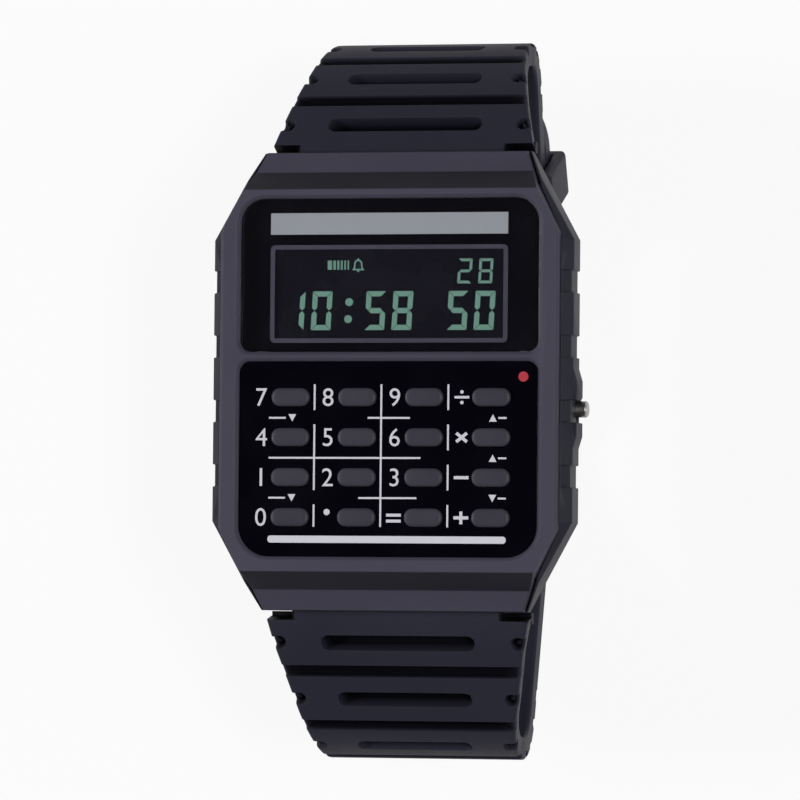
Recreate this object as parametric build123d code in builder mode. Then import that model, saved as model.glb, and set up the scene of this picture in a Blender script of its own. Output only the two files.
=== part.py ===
from build123d import *
import math
import os

os.makedirs("parts", exist_ok=True)

# Everything is in millimetres. X points to 3 o'clock, Y to 12 o'clock and Z out of the display.
# A depth is measured down from the front face of the bezel.

# Case, seen from the front
case_width = 34.8
case_length = 43.2
case_thickness = 8.2
half_width = case_width / 2
half_length = case_length / 2
case_shoulder_run = 8.2
case_end_narrowing = 4.35
end_block_length = 3.0
rim_slope_run = 4.3
lug_chamfer_run = 1.8
side_wall = 4.0
end_wall = 6.0
case_shoulder_y = half_length - case_shoulder_run
case_end_half_width = half_width - case_end_narrowing
block_half_length = half_length - end_block_length
rim_depth = 0.9
rim_slope_y = half_length - rim_slope_run
rim_end_depth = 3.5
wall_top_depth = 2.0
wall_bottom_depth = 4.6
shoulder_inset = 0.95
back_inset = 1.5
lug_bottom_depth = 7.0
lug_chamfer_y = half_length - lug_chamfer_run
lug_back_depth = 7.9
cavity_half_width = half_width - side_wall
cavity_half_length = half_length - end_wall
ledge_depth = 1.9
corner_round = 0.9

# Bezel
bezel_side_step = 1.1
bezel_shoulder_lead = 0.6
bezel_end_inset = 0.35
bezel_flat_run = 3.45
bezel_step_run = 1.85
bezel_half_width = half_width - bezel_side_step
bezel_shoulder_y = case_shoulder_y + bezel_shoulder_lead
bezel_end_half_width = case_end_half_width - bezel_end_inset
bezel_flat_half_length = half_length - bezel_flat_run
bezel_step_y = half_length - bezel_step_run
bezel_step_depth = 2.0
bezel_end_depth = 2.9
hood_bottom_depth = 3.85
bezel_gap = 0.2
bezel_edge_bevel = 0.22
rim_bevel = 0.32

# Windows in the bezel
window_side_bar = 1.7
window_top_bar = 0.85
window_middle_bar = 0.9
window_bottom_bar = 1.4
display_window_height = 14.6
window_width = 2 * (bezel_half_width - window_side_bar)
display_top_y = bezel_flat_half_length - window_top_bar
display_bottom_y = display_top_y - display_window_height
keypad_top_y = display_bottom_y - window_middle_bar
keypad_bottom_y = window_bottom_bar - bezel_flat_half_length
window_large_round = 2.4
window_small_round = 1.1
keypad_round = 3.0
window_clearance = 0.05
window_recess = 0.45
glass_bottom_depth = 1.55
sheet_top_depth = 1.7

# Display
strip_side_margin = 3.0
strip_drop = 2.37
strip_width = window_width - 2 * strip_side_margin
strip_height = 2.05
strip_y = display_top_y - strip_drop
strip_thickness = 0.1
display_centre_x = -0.25
frame_outer_width = strip_width
frame_outer_height = 9.3
frame_drop = 9.05
frame_y = display_top_y - frame_drop
frame_wall = 0.42
frame_round = 0.45
panel_margin_x = 0.4
panel_margin_y = 0.65
panel_width = frame_outer_width + 2 * panel_margin_x
panel_height = frame_outer_height + 2 * panel_margin_y
panel_thickness = 1.1
connector_inset = 1.0
connector_width = panel_width - 2 * connector_inset
connector_depth = 0.8

# Keypad
key_columns = 4
key_rows = 4
key_side_margin = 1.54
key_pitch_x = (window_width - 2 * key_side_margin) / key_columns
key_pitch_y = 3.8
keypad_centre_x = 0.28
key_top_row_drop = 3.41
key_top_row_y = keypad_top_y - key_top_row_drop
key_width = 3.7
key_height = 1.75
key_clearance = 0.08
key_proud = 0.4
key_edge = 0.16
key_flange = 0.35
key_flange_thickness = 0.4
key_stem_width = 1.2
key_stem_length = 0.3
running_gap = 0.05
dome_legs = 8
dome_radius = 1.0
dome_height = 0.3
dome_sheet_thickness = 0.1
dome_angle = 50.0
dome_sheet_trim_x = 2.3
dome_sheet_trim_y = 1.2
dome_sheet_width = key_columns * key_pitch_x - dome_sheet_trim_x
dome_sheet_height = key_rows * key_pitch_y - dome_sheet_trim_y

# Module inside the case
module_clearance = 0.2
module_half_width = cavity_half_width - module_clearance
module_half_length = cavity_half_length - module_clearance
module_wall = 0.8
module_bar_drop = 1.25
module_bar_y = display_bottom_y - module_bar_drop
module_bar_width = 2.1
board_top_depth = 3.5
board_thickness = 0.6
rear_frame_bottom_depth = 6.95
battery_side_land = 3.2
battery_end_land = 1.0
battery_radius = module_half_width - battery_side_land
battery_thickness = 1.6
battery_y = battery_radius - module_half_length + battery_end_land
battery_gap = 0.2
clip_width = 5.0
clip_thickness = 0.2
clip_foot = 1.2
clip_seat = 1.0
parts_side_land = 2.6
parts_half_width = module_half_width - parts_side_land
parts_half_height = 3.7
chip_size = 5.6
chip_height = 0.8
chip_x = 1.6
parts_drop = 5.0
parts_y = module_half_length - parts_drop
crystal_radius = 0.8
crystal_length = 5.8
crystal_inset = 4.6
crystal_x = module_half_width - crystal_inset
buzzer_spring_width = 1.2
buzzer_spring_thickness = 0.2
buzzer_spring_foot = 1.2
buzzer_spring_reach = 2.4
buzzer_spring_inset = 5.0
buzzer_spring_x = buzzer_spring_inset - module_half_width
buzzer_side_land = 4.2
buzzer_radius = module_half_width - buzzer_side_land
buzzer_thickness = 0.25
buzzer_x = -2.2
buzzer_y = 4.6

# Case back
back_thickness = 0.6
back_side_land = 2.9
back_end_land = 0.5
back_shoulder_lag = 0.6
back_end_inset = 1.15
back_half_width = half_width - back_side_land
back_half_length = block_half_length - back_end_land
back_shoulder_y = case_shoulder_y - back_shoulder_lag
back_end_half_width = case_end_half_width - back_end_inset
back_clearance = 0.06
screw_inset = 1.15
screw_x = back_end_half_width - screw_inset
screw_y = back_half_length - screw_inset
screw_head_radius = 0.9
screw_head_height = 0.35
screw_radius = 0.5
screw_length = 2.4
screw_slot_width = 0.22
screw_slot_depth = 0.18
screw_clearance = 0.03
gasket_width = 0.5
gasket_height = 0.5
gasket_land = 0.12

# Grip recesses in the sides of the case
grip_count = 4
grip_pitch = 6.15
grip_centre_y = 0.2
grip_floor_width = 2.1
grip_top_depth = 1.05
grip_bottom_depth = 6.2
grip_cut = 0.22
guard_length = 7.6
guard_rise = 0.35
guard_slope = 1.2

# Push button in the right side
pusher_y = -2.6
pusher_depth = 4.75
pusher_head_radius = 0.78
pusher_head_length = 1.9
pusher_proud = 1.05
pusher_stem_radius = 0.45
pusher_recess_radius = 1.0
pusher_bore_radius = 0.5
pusher_floor_wall = 1.3
pusher_floor_x = cavity_half_width + pusher_floor_wall
pusher_clip_radius = 1.0
pusher_clip_thickness = 0.2
pusher_groove_radius = 0.3
pusher_seal_length = 0.35
pusher_spring_radius = 0.7
pusher_spring_wire = 0.18
pusher_spring_length = 0.55
pusher_spring_turns = 1.5
pusher_notch_depth = 1.1
pusher_notch_half = 1.25
pusher_edge = 0.15

# Spring bars
bar_setback = 1.35
bar_y = half_length - bar_setback
bar_depth = 5.7
bar_radius = 0.75
bar_pin_radius = 0.4
bar_pin_length = 1.5
bar_end_gap = 0.1
bar_bore_clearance = 0.05
cheek_width = 2.4
cheek_inner_x = case_end_half_width - cheek_width

# Strap: two halves, each a band that leaves the case, bends back and runs under the wrist
strap_thickness = 2.2
strap_root_inset = 0.2
strap_narrowing = 3.5
strap_back_narrowing = 1.55
strap_root_half_width = case_end_half_width - strap_root_inset
strap_half_width = strap_root_half_width - strap_narrowing
strap_back_half_width = strap_half_width - strap_back_narrowing
back_taper_depth = 13.0
strap_boss_radius = 1.5
tab_side_gap = 0.25
tab_half_width = cheek_inner_x - tab_side_gap
tab_notch = 0.75
layer_gap = 0.3

# Route of the 12 o'clock half, as radii of the outer face and turns in degrees
upper_start_setback = 2.0
upper_start_y = half_length - upper_start_setback
upper_top_depth = 4.3
upper_root_radius = 6.0
upper_root_angle = 24.0
upper_middle_radius = 24.0
upper_middle_angle = 26.0
upper_front_radius = 12.0
upper_back_radius = 7.3
upper_back_angle = 66.0
upper_straight = 12.0
upper_base_radius = 24.0
buckle_bar_y = 3.0

# Route of the 6 o'clock half
lower_start_y = bar_y
lower_top_depth = 4.2
lower_root_radius = 12.0
lower_root_angle = 31.0
lower_straight = 5.6
lower_front_radius = 9.9
lower_back_radius = 7.5
lower_back_angle = 63.0
lower_base_radius = 30.0
tail_straight = 10.6

# Pattern moulded into the strap's outer face
link_pitch = 6.3
link_lead = 3.6
slot_count = 4
slot_end_land = 1.85
slot_length = 2 * (strap_half_width - slot_end_land)
slot_length_step = 2.1
slot_width = 1.45
slot_depth = 1.2
groove_count = 5
groove_width = 1.15
groove_depth = 0.4
dimple_count = 4
dimple_radius = 0.6
dimple_depth = 0.5
hole_length = 3.2
hole_width = 2.0
hole_pitch = 5.2
hole_count_tail = 4
hole_count_root = 2

# Buckle, its tongue and the keeper
buckle_side_gap = 0.3
buckle_arm_inner_x = strap_back_half_width + buckle_side_gap
buckle_arm_thickness = 1.2
buckle_bar_radius = 0.75
buckle_eye_radius = 1.45
buckle_bar_inset = 0.9
cross_bar_y = -6.6
cross_bar_length = 2.2
cross_bar_height = 1.4
cross_bar_gap = 0.25
buckle_heel_y = 1.2
tongue_width = 1.5
tongue_thickness = 0.8
tongue_ring_radius = 1.3
tongue_notch_clearance = 0.4
tongue_rise_y = -1.3
tongue_run = 2.0
tongue_tip_y = -7.7
tongue_recess = 0.9
keeper_length = 4.6
keeper_wall = 1.1
keeper_clearance = 0.25
keeper_side_wall = 1.1
keeper_side_clearance = 1.05
keeper_station = 9.6
keeper_round = 0.5

overrun = 3.0

# Worked out from the values above
flange_top_depth = ledge_depth + running_gap
flange_bottom_depth = flange_top_depth + key_flange_thickness
stem_bottom_depth = flange_bottom_depth + key_stem_length
board_bottom_depth = board_top_depth + board_thickness
back_top_depth = case_thickness - back_thickness
bar_half_length = cheek_inner_x - bar_end_gap


# One step of a strap's route: a straight run, or an arc that turns towards the wrist.
# A point is (outward distance from the case's centre, depth), and a heading is in degrees from outward to down.
def walk(start, heading, steps):
    route = []
    point = start
    for kind, size, turn in steps:
        angle = math.radians(heading)
        if kind == "line":
            end = (point[0] + size * math.cos(angle), point[1] + size * math.sin(angle))
            route.append(("line", point, end, heading, size))
            point = end
        else:
            centre = (point[0] - size * math.sin(angle), point[1] + size * math.cos(angle))
            route.append(("arc", centre, size, heading, turn))
            heading = heading + turn
            angle = math.radians(heading)
            point = (centre[0] + size * math.sin(angle), centre[1] - size * math.cos(angle))
    return route, point, heading


# The point of a step at a share of its way, moved inwards by an offset, and the heading there
def step_point(step, share, offset):
    if step[0] == "line":
        first, last, heading = step[1], step[2], step[3]
        angle = math.radians(heading)
        across = first[0] + (last[0] - first[0]) * share - offset * math.sin(angle)
        deep = first[1] + (last[1] - first[1]) * share + offset * math.cos(angle)
        return across, deep, heading
    centre, radius, heading, turn = step[1], step[2], step[3], step[4]
    heading = heading + turn * share
    angle = math.radians(heading)
    reach = radius - offset
    return centre[0] + reach * math.sin(angle), centre[1] - reach * math.cos(angle), heading


def step_length(step):
    return step[4] if step[0] == "line" else step[2] * math.radians(step[4])


# The place a given length along a route, measured on its outer face
def along(route, length):
    for step in route:
        run = step_length(step)
        if length <= run:
            return step_point(step, length / run, 0)
        length = length - run
    return step_point(route[-1], 1, 0)


# Both routes end in a flat stretch, the 6 o'clock half one layer further down than the 12 o'clock half
upper_front_angle = 90 - upper_root_angle - upper_middle_angle
upper_base_angle = 90 - upper_back_angle
upper_bend, upper_flat, upper_heading = walk(
    (upper_start_y, upper_top_depth),
    0,
    [
        ("arc", upper_root_radius, upper_root_angle),
        ("arc", upper_middle_radius, upper_middle_angle),
        ("arc", upper_front_radius, upper_front_angle),
        ("arc", upper_back_radius, upper_back_angle),
        ("line", upper_straight, 0),
        ("arc", upper_base_radius, upper_base_angle),
    ],
)
flat_depth = upper_flat[1]
upper_last, _, _ = walk(upper_flat, upper_heading, [("line", upper_flat[0] - buckle_bar_y, 0)])
upper_route = upper_bend + upper_last
tail_depth = flat_depth + layer_gap + strap_thickness
buckle_bar_depth = flat_depth - strap_thickness / 2

lower_front_angle = 90 - lower_root_angle
lower_slope = 90 - lower_back_angle
lower_steps = [
    ("arc", lower_root_radius, lower_root_angle),
    ("line", lower_straight, 0),
    ("arc", lower_front_radius, lower_front_angle),
    ("arc", lower_back_radius, lower_back_angle),
]
_, lower_turned, _ = walk((lower_start_y, lower_top_depth), 0, lower_steps)
base_drop = lower_base_radius * (1 - math.cos(math.radians(lower_slope)))
lower_slant = (tail_depth - lower_turned[1] - base_drop) / math.sin(math.radians(lower_slope))
lower_steps = lower_steps + [("line", lower_slant, 0), ("arc", lower_base_radius, lower_slope)]
lower_bend, lower_flat, _ = walk((lower_start_y, lower_top_depth), 0, lower_steps)

# The 6 o'clock half runs on flat past the middle, then follows the 12 o'clock half up, lying on it
tail_flat = lower_flat[0] + upper_flat[0]
lower_steps = lower_steps + [
    ("line", tail_flat, 0),
    ("arc", upper_base_radius + layer_gap + strap_thickness, upper_base_angle),
    ("line", tail_straight, 0),
]
lower_route, tail_tip, _ = walk((lower_start_y, lower_top_depth), 0, lower_steps)

upper_apex_y, upper_apex_depth, _ = step_point(upper_route[3], 0, 0)
lower_apex_y, lower_apex_depth, _ = step_point(lower_route[3], 0, 0)
cross_bar_top_depth = tail_depth + cross_bar_gap
cross_bar_bottom_depth = cross_bar_top_depth + cross_bar_height


def height(depth):
    return case_thickness - depth


def place(side, point):
    return side * point[0], height(point[1])


# The side view of a band between two offsets from its outer face
def band_profile(route, side, outer, inner):
    with BuildSketch(Plane.YZ) as profile:
        with BuildLine():
            for offset in (outer, inner):
                for step in route:
                    first = place(side, step_point(step, 0, offset))
                    last = place(side, step_point(step, 1, offset))
                    if step[0] == "line":
                        Line(first, last)
                    else:
                        ThreePointArc(first, place(side, step_point(step, 1 / 2, offset)), last)
            for step, share in ((route[0], 0), (route[-1], 1)):
                Line(
                    place(side, step_point(step, share, outer)),
                    place(side, step_point(step, share, inner)),
                )
        make_face()
    return profile.sketch


# The plane that lies on a strap's outer face at a given length along its route
def face_plane(route, side, length, lift=0):
    across, deep, heading = along(route, length)
    angle = math.radians(heading)
    up = (0, side * math.sin(angle), math.cos(angle))
    origin = (0, side * across + up[1] * lift, height(deep) + up[2] * lift)
    return Plane(origin=origin, x_dir=(1, 0, 0), z_dir=up)


# What lies outside the strap's tapering plan in front of its bend
def side_waste(side, root_half, even_half, apex_y, apex_depth):
    far = root_half + overrun
    with BuildSketch(Plane.XY.offset(height(apex_depth))) as front:
        with BuildLine():
            Polyline(
                (root_half, side * half_length),
                (even_half, side * apex_y),
                (even_half, side * (apex_y + overrun)),
                (far, side * (apex_y + overrun)),
                (far, side * half_length),
                close=True,
            )
        make_face()
        mirror(about=Plane.YZ)
    return front.sketch


# What lies outside its narrower width behind the bend, seen from its end
def back_waste(front_half, back_half, far, apex_depth):
    low = height(apex_depth + back_taper_depth)
    floor = height(3 * apex_depth)
    with BuildSketch(Plane.XZ) as back:
        with BuildLine():
            Polyline(
                (front_half, height(apex_depth)),
                (back_half, low),
                (back_half, floor),
                (far, floor),
                (far, height(apex_depth)),
                close=True,
            )
        make_face()
        mirror(about=Plane.YZ)
    return back.sketch


# Grooves across the outer face, between the links
def groove_profile(route, side):
    with BuildSketch(Plane.YZ) as grooves:
        for number in range(groove_count):
            length = link_lead + link_pitch * (number + 1 / 2)
            across, deep, heading = along(route, length)
            with Locations(place(side, (across, deep))):
                Rectangle(groove_width, 2 * groove_depth, rotation=-side * heading)
    return grooves.sketch


def slot_profile(route, side, number):
    with BuildSketch(face_plane(route, side, link_lead + link_pitch * number)) as slot:
        SlotOverall(slot_length - slot_length_step * number, slot_width)
    return slot.sketch


def dimple_profile(route, side, number, root_half, even_half, apex_y):
    length = link_lead + link_pitch * number
    share = min(1, max(0, (along(route, length)[0] - half_length) / (apex_y - half_length)))
    edge = root_half + (even_half - root_half) * share
    with BuildSketch(face_plane(route, side, length)) as dimples:
        with Locations((edge, 0), (-edge, 0)):
            Circle(dimple_radius)
    return dimples.sketch


# An outline with straight sides, cut away towards both ends along one slanted line
def tapered_outline(half_wide, shoulder_y, end_half_wide, end_y, grow=0, depth=case_thickness):
    with BuildSketch(Plane.XY.offset(height(depth))) as outline:
        with BuildLine():
            Polyline(
                (half_wide + grow, shoulder_y),
                (end_half_wide + grow, end_y),
                (-end_half_wide - grow, end_y),
                (-half_wide - grow, shoulder_y),
                (-half_wide - grow, -shoulder_y),
                (-end_half_wide - grow, -end_y),
                (end_half_wide + grow, -end_y),
                (half_wide + grow, -shoulder_y),
                close=True,
            )
        make_face()
    return outline.sketch


# Both halves of a side view, from points with a positive outward distance
def mirrored_profile(points):
    with BuildSketch(Plane.YZ) as profile:
        with BuildLine():
            Polyline(*[place(1, point) for point in points], close=True)
        make_face()
        mirror(about=Plane.YZ)
    return profile.sketch


def window_outline(top_y, bottom_y, grow, round_top, round_bottom):
    with BuildSketch() as outline:
        with Locations((0, (top_y + bottom_y) / 2)):
            Rectangle(window_width + 2 * grow, top_y - bottom_y + 2 * grow)
        corners = outline.vertices().group_by(Axis.Y)
        fillet(corners[-1], radius=round_top + grow)
        fillet(outline.vertices().group_by(Axis.Y)[0], radius=round_bottom + grow)
    return outline.sketch


def key_outline(grow):
    with BuildSketch() as outline:
        SlotOverall(key_width + 2 * grow, key_height + 2 * grow)
    return outline.sketch


def key_place(column, row):
    middle = (key_columns - 1) / 2
    return (
        keypad_centre_x + (column - middle) * key_pitch_x,
        key_top_row_y - row * key_pitch_y,
    )


key_places = [key_place(column, row) for row in range(key_rows) for column in range(key_columns)]
key_names = [
    ["key_7", "key_8", "key_9", "key_divide"],
    ["key_4", "key_5", "key_6", "key_multiply"],
    ["key_1", "key_2", "key_3", "key_minus"],
    ["key_0", "key_point", "key_equals", "key_plus"],
]

def case_plan(depth, inset):
    return tapered_outline(
        half_width, case_shoulder_y, case_end_half_width, half_length, -inset, depth
    )


def bezel_plan(grow, end_y, depth):
    slope = (bezel_half_width - bezel_end_half_width) / (half_length - bezel_shoulder_y)
    end_half = bezel_half_width - slope * (end_y - bezel_shoulder_y)
    return tapered_outline(bezel_half_width, bezel_shoulder_y, end_half, end_y, grow, depth)


display_window = window_outline(
    display_top_y, display_bottom_y, 0, window_large_round, window_small_round
)
keypad_window = window_outline(
    keypad_top_y, keypad_bottom_y, 0, window_small_round, keypad_round
)

# Bezel: one front frame with a bar between its two windows and a hood at each end
with BuildPart() as bezel:
    extrude(
        mirrored_profile([
            (0, 0),
            (bezel_flat_half_length, 0),
            (bezel_step_y, bezel_step_depth),
            (half_length, bezel_end_depth),
            (half_length, hood_bottom_depth),
            (block_half_length + bezel_gap, hood_bottom_depth),
            (block_half_length + bezel_gap, ledge_depth),
            (0, ledge_depth),
        ]),
        amount=bezel_half_width,
        both=True,
    )
    extrude(bezel_plan(0, half_length, hood_bottom_depth), amount=case_thickness, mode=Mode.INTERSECT)
    extrude(display_window, amount=case_thickness + overrun, mode=Mode.SUBTRACT)
    extrude(keypad_window, amount=case_thickness + overrun, mode=Mode.SUBTRACT)
    front = bezel.faces().sort_by(Axis.Z)[-1]
    rims = [edge for wire in front.inner_wires() for edge in wire.edges()]
    chamfer(rims, length=rim_bevel)
    front = bezel.faces().sort_by(Axis.Z)[-1]
    chamfer(front.outer_wire().edges().filter_by(Axis.Y), length=bezel_edge_bevel)
bezel.part.label = "bezel"
export_step(bezel.part, "parts/bezel.step")

grip_profile_points = [
    (half_width - shoulder_inset - grip_cut, height(grip_top_depth)),
    (half_width - grip_cut, height(wall_top_depth)),
    (half_width - grip_cut, height(wall_bottom_depth)),
    (half_width - grip_cut - back_inset / 2, height(grip_bottom_depth)),
    (half_width + overrun, height(grip_bottom_depth)),
    (half_width + overrun, height(grip_top_depth)),
]
with BuildSketch(Plane.XZ) as grip_section:
    with BuildLine():
        Polyline(*grip_profile_points, close=True)
    make_face()
    mirror(about=Plane.YZ)
pusher_height = height(pusher_depth)
pusher_base = Plane(origin=(0, pusher_y, pusher_height), x_dir=(0, 1, 0), z_dir=(1, 0, 0))


def guard_outline(depth, inset):
    wall = half_width - inset
    low = pusher_y - guard_length / 2
    high = pusher_y + guard_length / 2
    with BuildSketch(Plane.XY.offset(height(depth))) as outline:
        with BuildLine():
            Polyline(
                (wall - overrun, low),
                (wall, low),
                (wall + guard_rise, low + guard_slope),
                (wall + guard_rise, high - guard_slope),
                (wall, high),
                (wall - overrun, high),
                close=True,
            )
        make_face()
    return outline.sketch


def side_cylinder_sketch(first_x, radius):
    with BuildSketch(pusher_base.offset(first_x)) as circle:
        Circle(radius)
    return circle.sketch


# Case: two side walls and two end blocks round one hollow, with two lugs at each end
with BuildPart() as case_body:
    loft([case_plan(wall_top_depth, 0), case_plan(rim_depth, shoulder_inset)], ruled=True)
    extrude(case_plan(wall_bottom_depth, 0), amount=wall_bottom_depth - wall_top_depth)
    loft([case_plan(case_thickness, back_inset), case_plan(wall_bottom_depth, 0)], ruled=True)
    extrude(guard_outline(wall_bottom_depth, 0), amount=wall_bottom_depth - wall_top_depth)
    loft([guard_outline(case_thickness, back_inset), guard_outline(wall_bottom_depth, 0)], ruled=True)
    extrude(
        mirrored_profile([
            (0, rim_depth),
            (rim_slope_y, rim_depth),
            (half_length, rim_end_depth),
            (half_length, lug_bottom_depth),
            (lug_chamfer_y, lug_back_depth),
            (block_half_length, case_thickness),
            (0, case_thickness),
        ]),
        amount=half_width + overrun,
        both=True,
        mode=Mode.INTERSECT,
    )
    # Seat of the bezel, lower under its hoods
    seat_end_y = half_length + overrun
    extrude(bezel_plan(bezel_gap, seat_end_y, ledge_depth), amount=overrun, mode=Mode.SUBTRACT)
    hood_seat = bezel_plan(bezel_gap, seat_end_y, hood_bottom_depth + running_gap)
    with BuildSketch(Plane.XY.offset(height(hood_bottom_depth + running_gap))) as hood_plan:
        add(hood_seat)
        Rectangle(case_width + overrun, 2 * block_half_length, mode=Mode.SUBTRACT)
    extrude(amount=overrun, mode=Mode.SUBTRACT)
    # Space for the strap between the lugs
    with BuildSketch() as channel:
        with Locations((0, block_half_length + overrun), (0, -block_half_length - overrun)):
            Rectangle(2 * cheek_inner_x, 2 * overrun)
    extrude(amount=case_thickness + overrun, mode=Mode.SUBTRACT)
    # Hollow for the module
    with BuildSketch() as hollow:
        RectangleRounded(2 * cavity_half_width, 2 * cavity_half_length, corner_round)
    extrude(amount=case_thickness + overrun, mode=Mode.SUBTRACT)
    # Recess of the case back, its screw holes and the gasket's groove
    extrude(
        tapered_outline(
            back_half_width, back_shoulder_y, back_end_half_width, back_half_length, back_clearance
        ),
        amount=back_thickness,
        mode=Mode.SUBTRACT,
    )
    with BuildSketch() as screw_holes:
        with GridLocations(2 * screw_x, 2 * screw_y, 2, 2):
            Circle(screw_radius + screw_clearance)
    extrude(amount=screw_head_height + screw_length + screw_clearance, mode=Mode.SUBTRACT)
    with BuildSketch(Plane.XY.offset(back_thickness)) as groove:
        RectangleRounded(
            2 * (cavity_half_width + gasket_land + gasket_width),
            2 * (cavity_half_length + gasket_land + gasket_width),
            corner_round + gasket_land + gasket_width,
        )
        RectangleRounded(
            2 * (cavity_half_width + gasket_land),
            2 * (cavity_half_length + gasket_land),
            corner_round + gasket_land,
            mode=Mode.SUBTRACT,
        )
    extrude(amount=gasket_height, mode=Mode.SUBTRACT)
    # Grips down both sides
    for number in range(grip_count):
        grip_y = grip_centre_y + grip_pitch * (number - (grip_count - 1) / 2)
        extrude(
            grip_section.sketch.moved(Location((0, grip_y, 0))),
            amount=grip_floor_width / 2,
            both=True,
            mode=Mode.SUBTRACT,
        )
    # Recess and bore of the push button
    extrude(
        side_cylinder_sketch(pusher_floor_x, pusher_recess_radius),
        amount=half_width,
        mode=Mode.SUBTRACT,
    )
    extrude(
        side_cylinder_sketch(cavity_half_width - overrun, pusher_bore_radius),
        amount=half_width,
        mode=Mode.SUBTRACT,
    )
    # Holes for the ends of the spring bars
    with BuildSketch(Plane.YZ) as pin_holes:
        with Locations((bar_y, height(bar_depth)), (-bar_y, height(bar_depth))):
            Circle(bar_pin_radius + bar_bore_clearance)
    extrude(amount=case_width, both=True, mode=Mode.SUBTRACT)
case_body.part.label = "case_body"
export_step(case_body.part, "parts/case_body.step")

# Window over the display, set into the bezel
with BuildPart() as display_window_pane:
    extrude(
        window_outline(
            display_top_y,
            display_bottom_y,
            -window_clearance,
            window_large_round,
            window_small_round,
        ).moved(Location((0, 0, height(glass_bottom_depth)))),
        amount=glass_bottom_depth - window_recess,
    )
display_window_pane.part.label = "display_window"
export_step(display_window_pane.part, "parts/display_window.step")

# Printed plate under the window, open over the display
with BuildPart() as dial_plate:
    extrude(
        window_outline(
            display_top_y,
            display_bottom_y,
            -window_clearance,
            window_large_round,
            window_small_round,
        ).moved(Location((0, 0, height(ledge_depth)))),
        amount=ledge_depth - sheet_top_depth,
    )
    with BuildSketch(Plane.XY.offset(height(ledge_depth))) as opening:
        with Locations((display_centre_x, frame_y)):
            Rectangle(frame_outer_width - 2 * frame_wall, frame_outer_height - 2 * frame_wall)
    extrude(amount=ledge_depth, mode=Mode.SUBTRACT)
dial_plate.part.label = "dial_plate"
export_step(dial_plate.part, "parts/dial_plate.step")

with BuildPart() as header_strip:
    with BuildSketch(Plane.XY.offset(height(sheet_top_depth))) as strip_outline:
        with Locations((display_centre_x, strip_y)):
            Rectangle(strip_width, strip_height)
    extrude(amount=strip_thickness)
header_strip.part.label = "header_strip"
export_step(header_strip.part, "parts/header_strip.step")

with BuildPart() as lcd_frame:
    with BuildSketch(Plane.XY.offset(height(sheet_top_depth))) as frame_outline:
        with Locations((display_centre_x, frame_y)):
            RectangleRounded(frame_outer_width, frame_outer_height, frame_round)
            Rectangle(
                frame_outer_width - 2 * frame_wall,
                frame_outer_height - 2 * frame_wall,
                mode=Mode.SUBTRACT,
            )
    extrude(amount=strip_thickness)
lcd_frame.part.label = "lcd_frame"
export_step(lcd_frame.part, "parts/lcd_frame.step")

# Liquid crystal glass behind the opening
panel_top_depth = ledge_depth + running_gap
panel_bottom_depth = panel_top_depth + panel_thickness
with BuildPart() as lcd_panel:
    with BuildSketch(Plane.XY.offset(height(panel_bottom_depth))) as panel_outline:
        with Locations((display_centre_x, frame_y)):
            Rectangle(panel_width, panel_height)
    extrude(amount=panel_thickness)
lcd_panel.part.label = "lcd_panel"
export_step(lcd_panel.part, "parts/lcd_panel.step")

# Plate round the keys, with one hole for each
with BuildPart() as keypad_panel:
    extrude(
        window_outline(
            keypad_top_y, keypad_bottom_y, -window_clearance, window_small_round, keypad_round
        ).moved(Location((0, 0, height(ledge_depth)))),
        amount=ledge_depth - window_recess,
    )
    with BuildSketch(Plane.XY.offset(height(ledge_depth))) as key_holes:
        with Locations(*key_places):
            add(key_outline(key_clearance))
    extrude(amount=ledge_depth, mode=Mode.SUBTRACT)
keypad_panel.part.label = "keypad_panel"
export_step(keypad_panel.part, "parts/keypad_panel.step")

# Keys: a bar with a flange under the plate and a stem over its dome
for number, spot in enumerate(key_places):
    name = key_names[number // key_columns][number % key_columns]
    with BuildPart() as key:
        with BuildSketch(Plane.XY.offset(height(flange_top_depth))) as key_bar:
            with Locations(spot):
                add(key_outline(0))
        extrude(amount=flange_top_depth - window_recess + key_proud)
        chamfer(key.faces().sort_by(Axis.Z)[-1].edges(), length=key_edge)
        with BuildSketch(Plane.XY.offset(height(flange_bottom_depth))) as flange:
            with Locations(spot):
                Rectangle(key_width + 2 * key_flange, key_height + 2 * key_flange)
        extrude(amount=key_flange_thickness)
        with BuildSketch(Plane.XY.offset(height(stem_bottom_depth))) as stem:
            with Locations(spot):
                Rectangle(key_stem_width, key_stem_width)
        extrude(amount=key_stem_length)
    key.part.label = name
    export_step(key.part, "parts/" + name + ".step")

# Sheet of snap domes on the circuit board
with BuildPart() as dome_sheet:
    with BuildSketch(Plane.XY.offset(height(board_top_depth))) as sheet_outline:
        with Locations((keypad_centre_x, (key_places[0][1] + key_places[-1][1]) / 2)):
            Rectangle(dome_sheet_width, dome_sheet_height)
    extrude(amount=dome_sheet_thickness)
    with BuildSketch(Plane.XY.offset(height(board_top_depth - dome_sheet_thickness))) as dome_feet:
        with Locations(*key_places):
            RegularPolygon(dome_radius, dome_legs)
    extrude(amount=dome_height, taper=dome_angle)
dome_sheet.part.label = "dome_sheet"
export_step(dome_sheet.part, "parts/dome_sheet.step")


def module_outline(wall):
    with BuildSketch() as outline:
        RectangleRounded(
            2 * (module_half_width - wall), 2 * (module_half_length - wall), corner_round
        )
    return outline.sketch


# Front frame of the module, round the display and the dome sheet, with a bar between them
module_top_depth = ledge_depth + running_gap
with BuildPart() as module_frame:
    with BuildSketch(Plane.XY.offset(height(board_top_depth))) as ring:
        add(module_outline(0))
        add(module_outline(module_wall), mode=Mode.SUBTRACT)
        with Locations((0, module_bar_y)):
            Rectangle(2 * module_half_width, module_bar_width)
    extrude(amount=board_top_depth - module_top_depth)
module_frame.part.label = "module_frame"
export_step(module_frame.part, "parts/module_frame.step")

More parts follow.
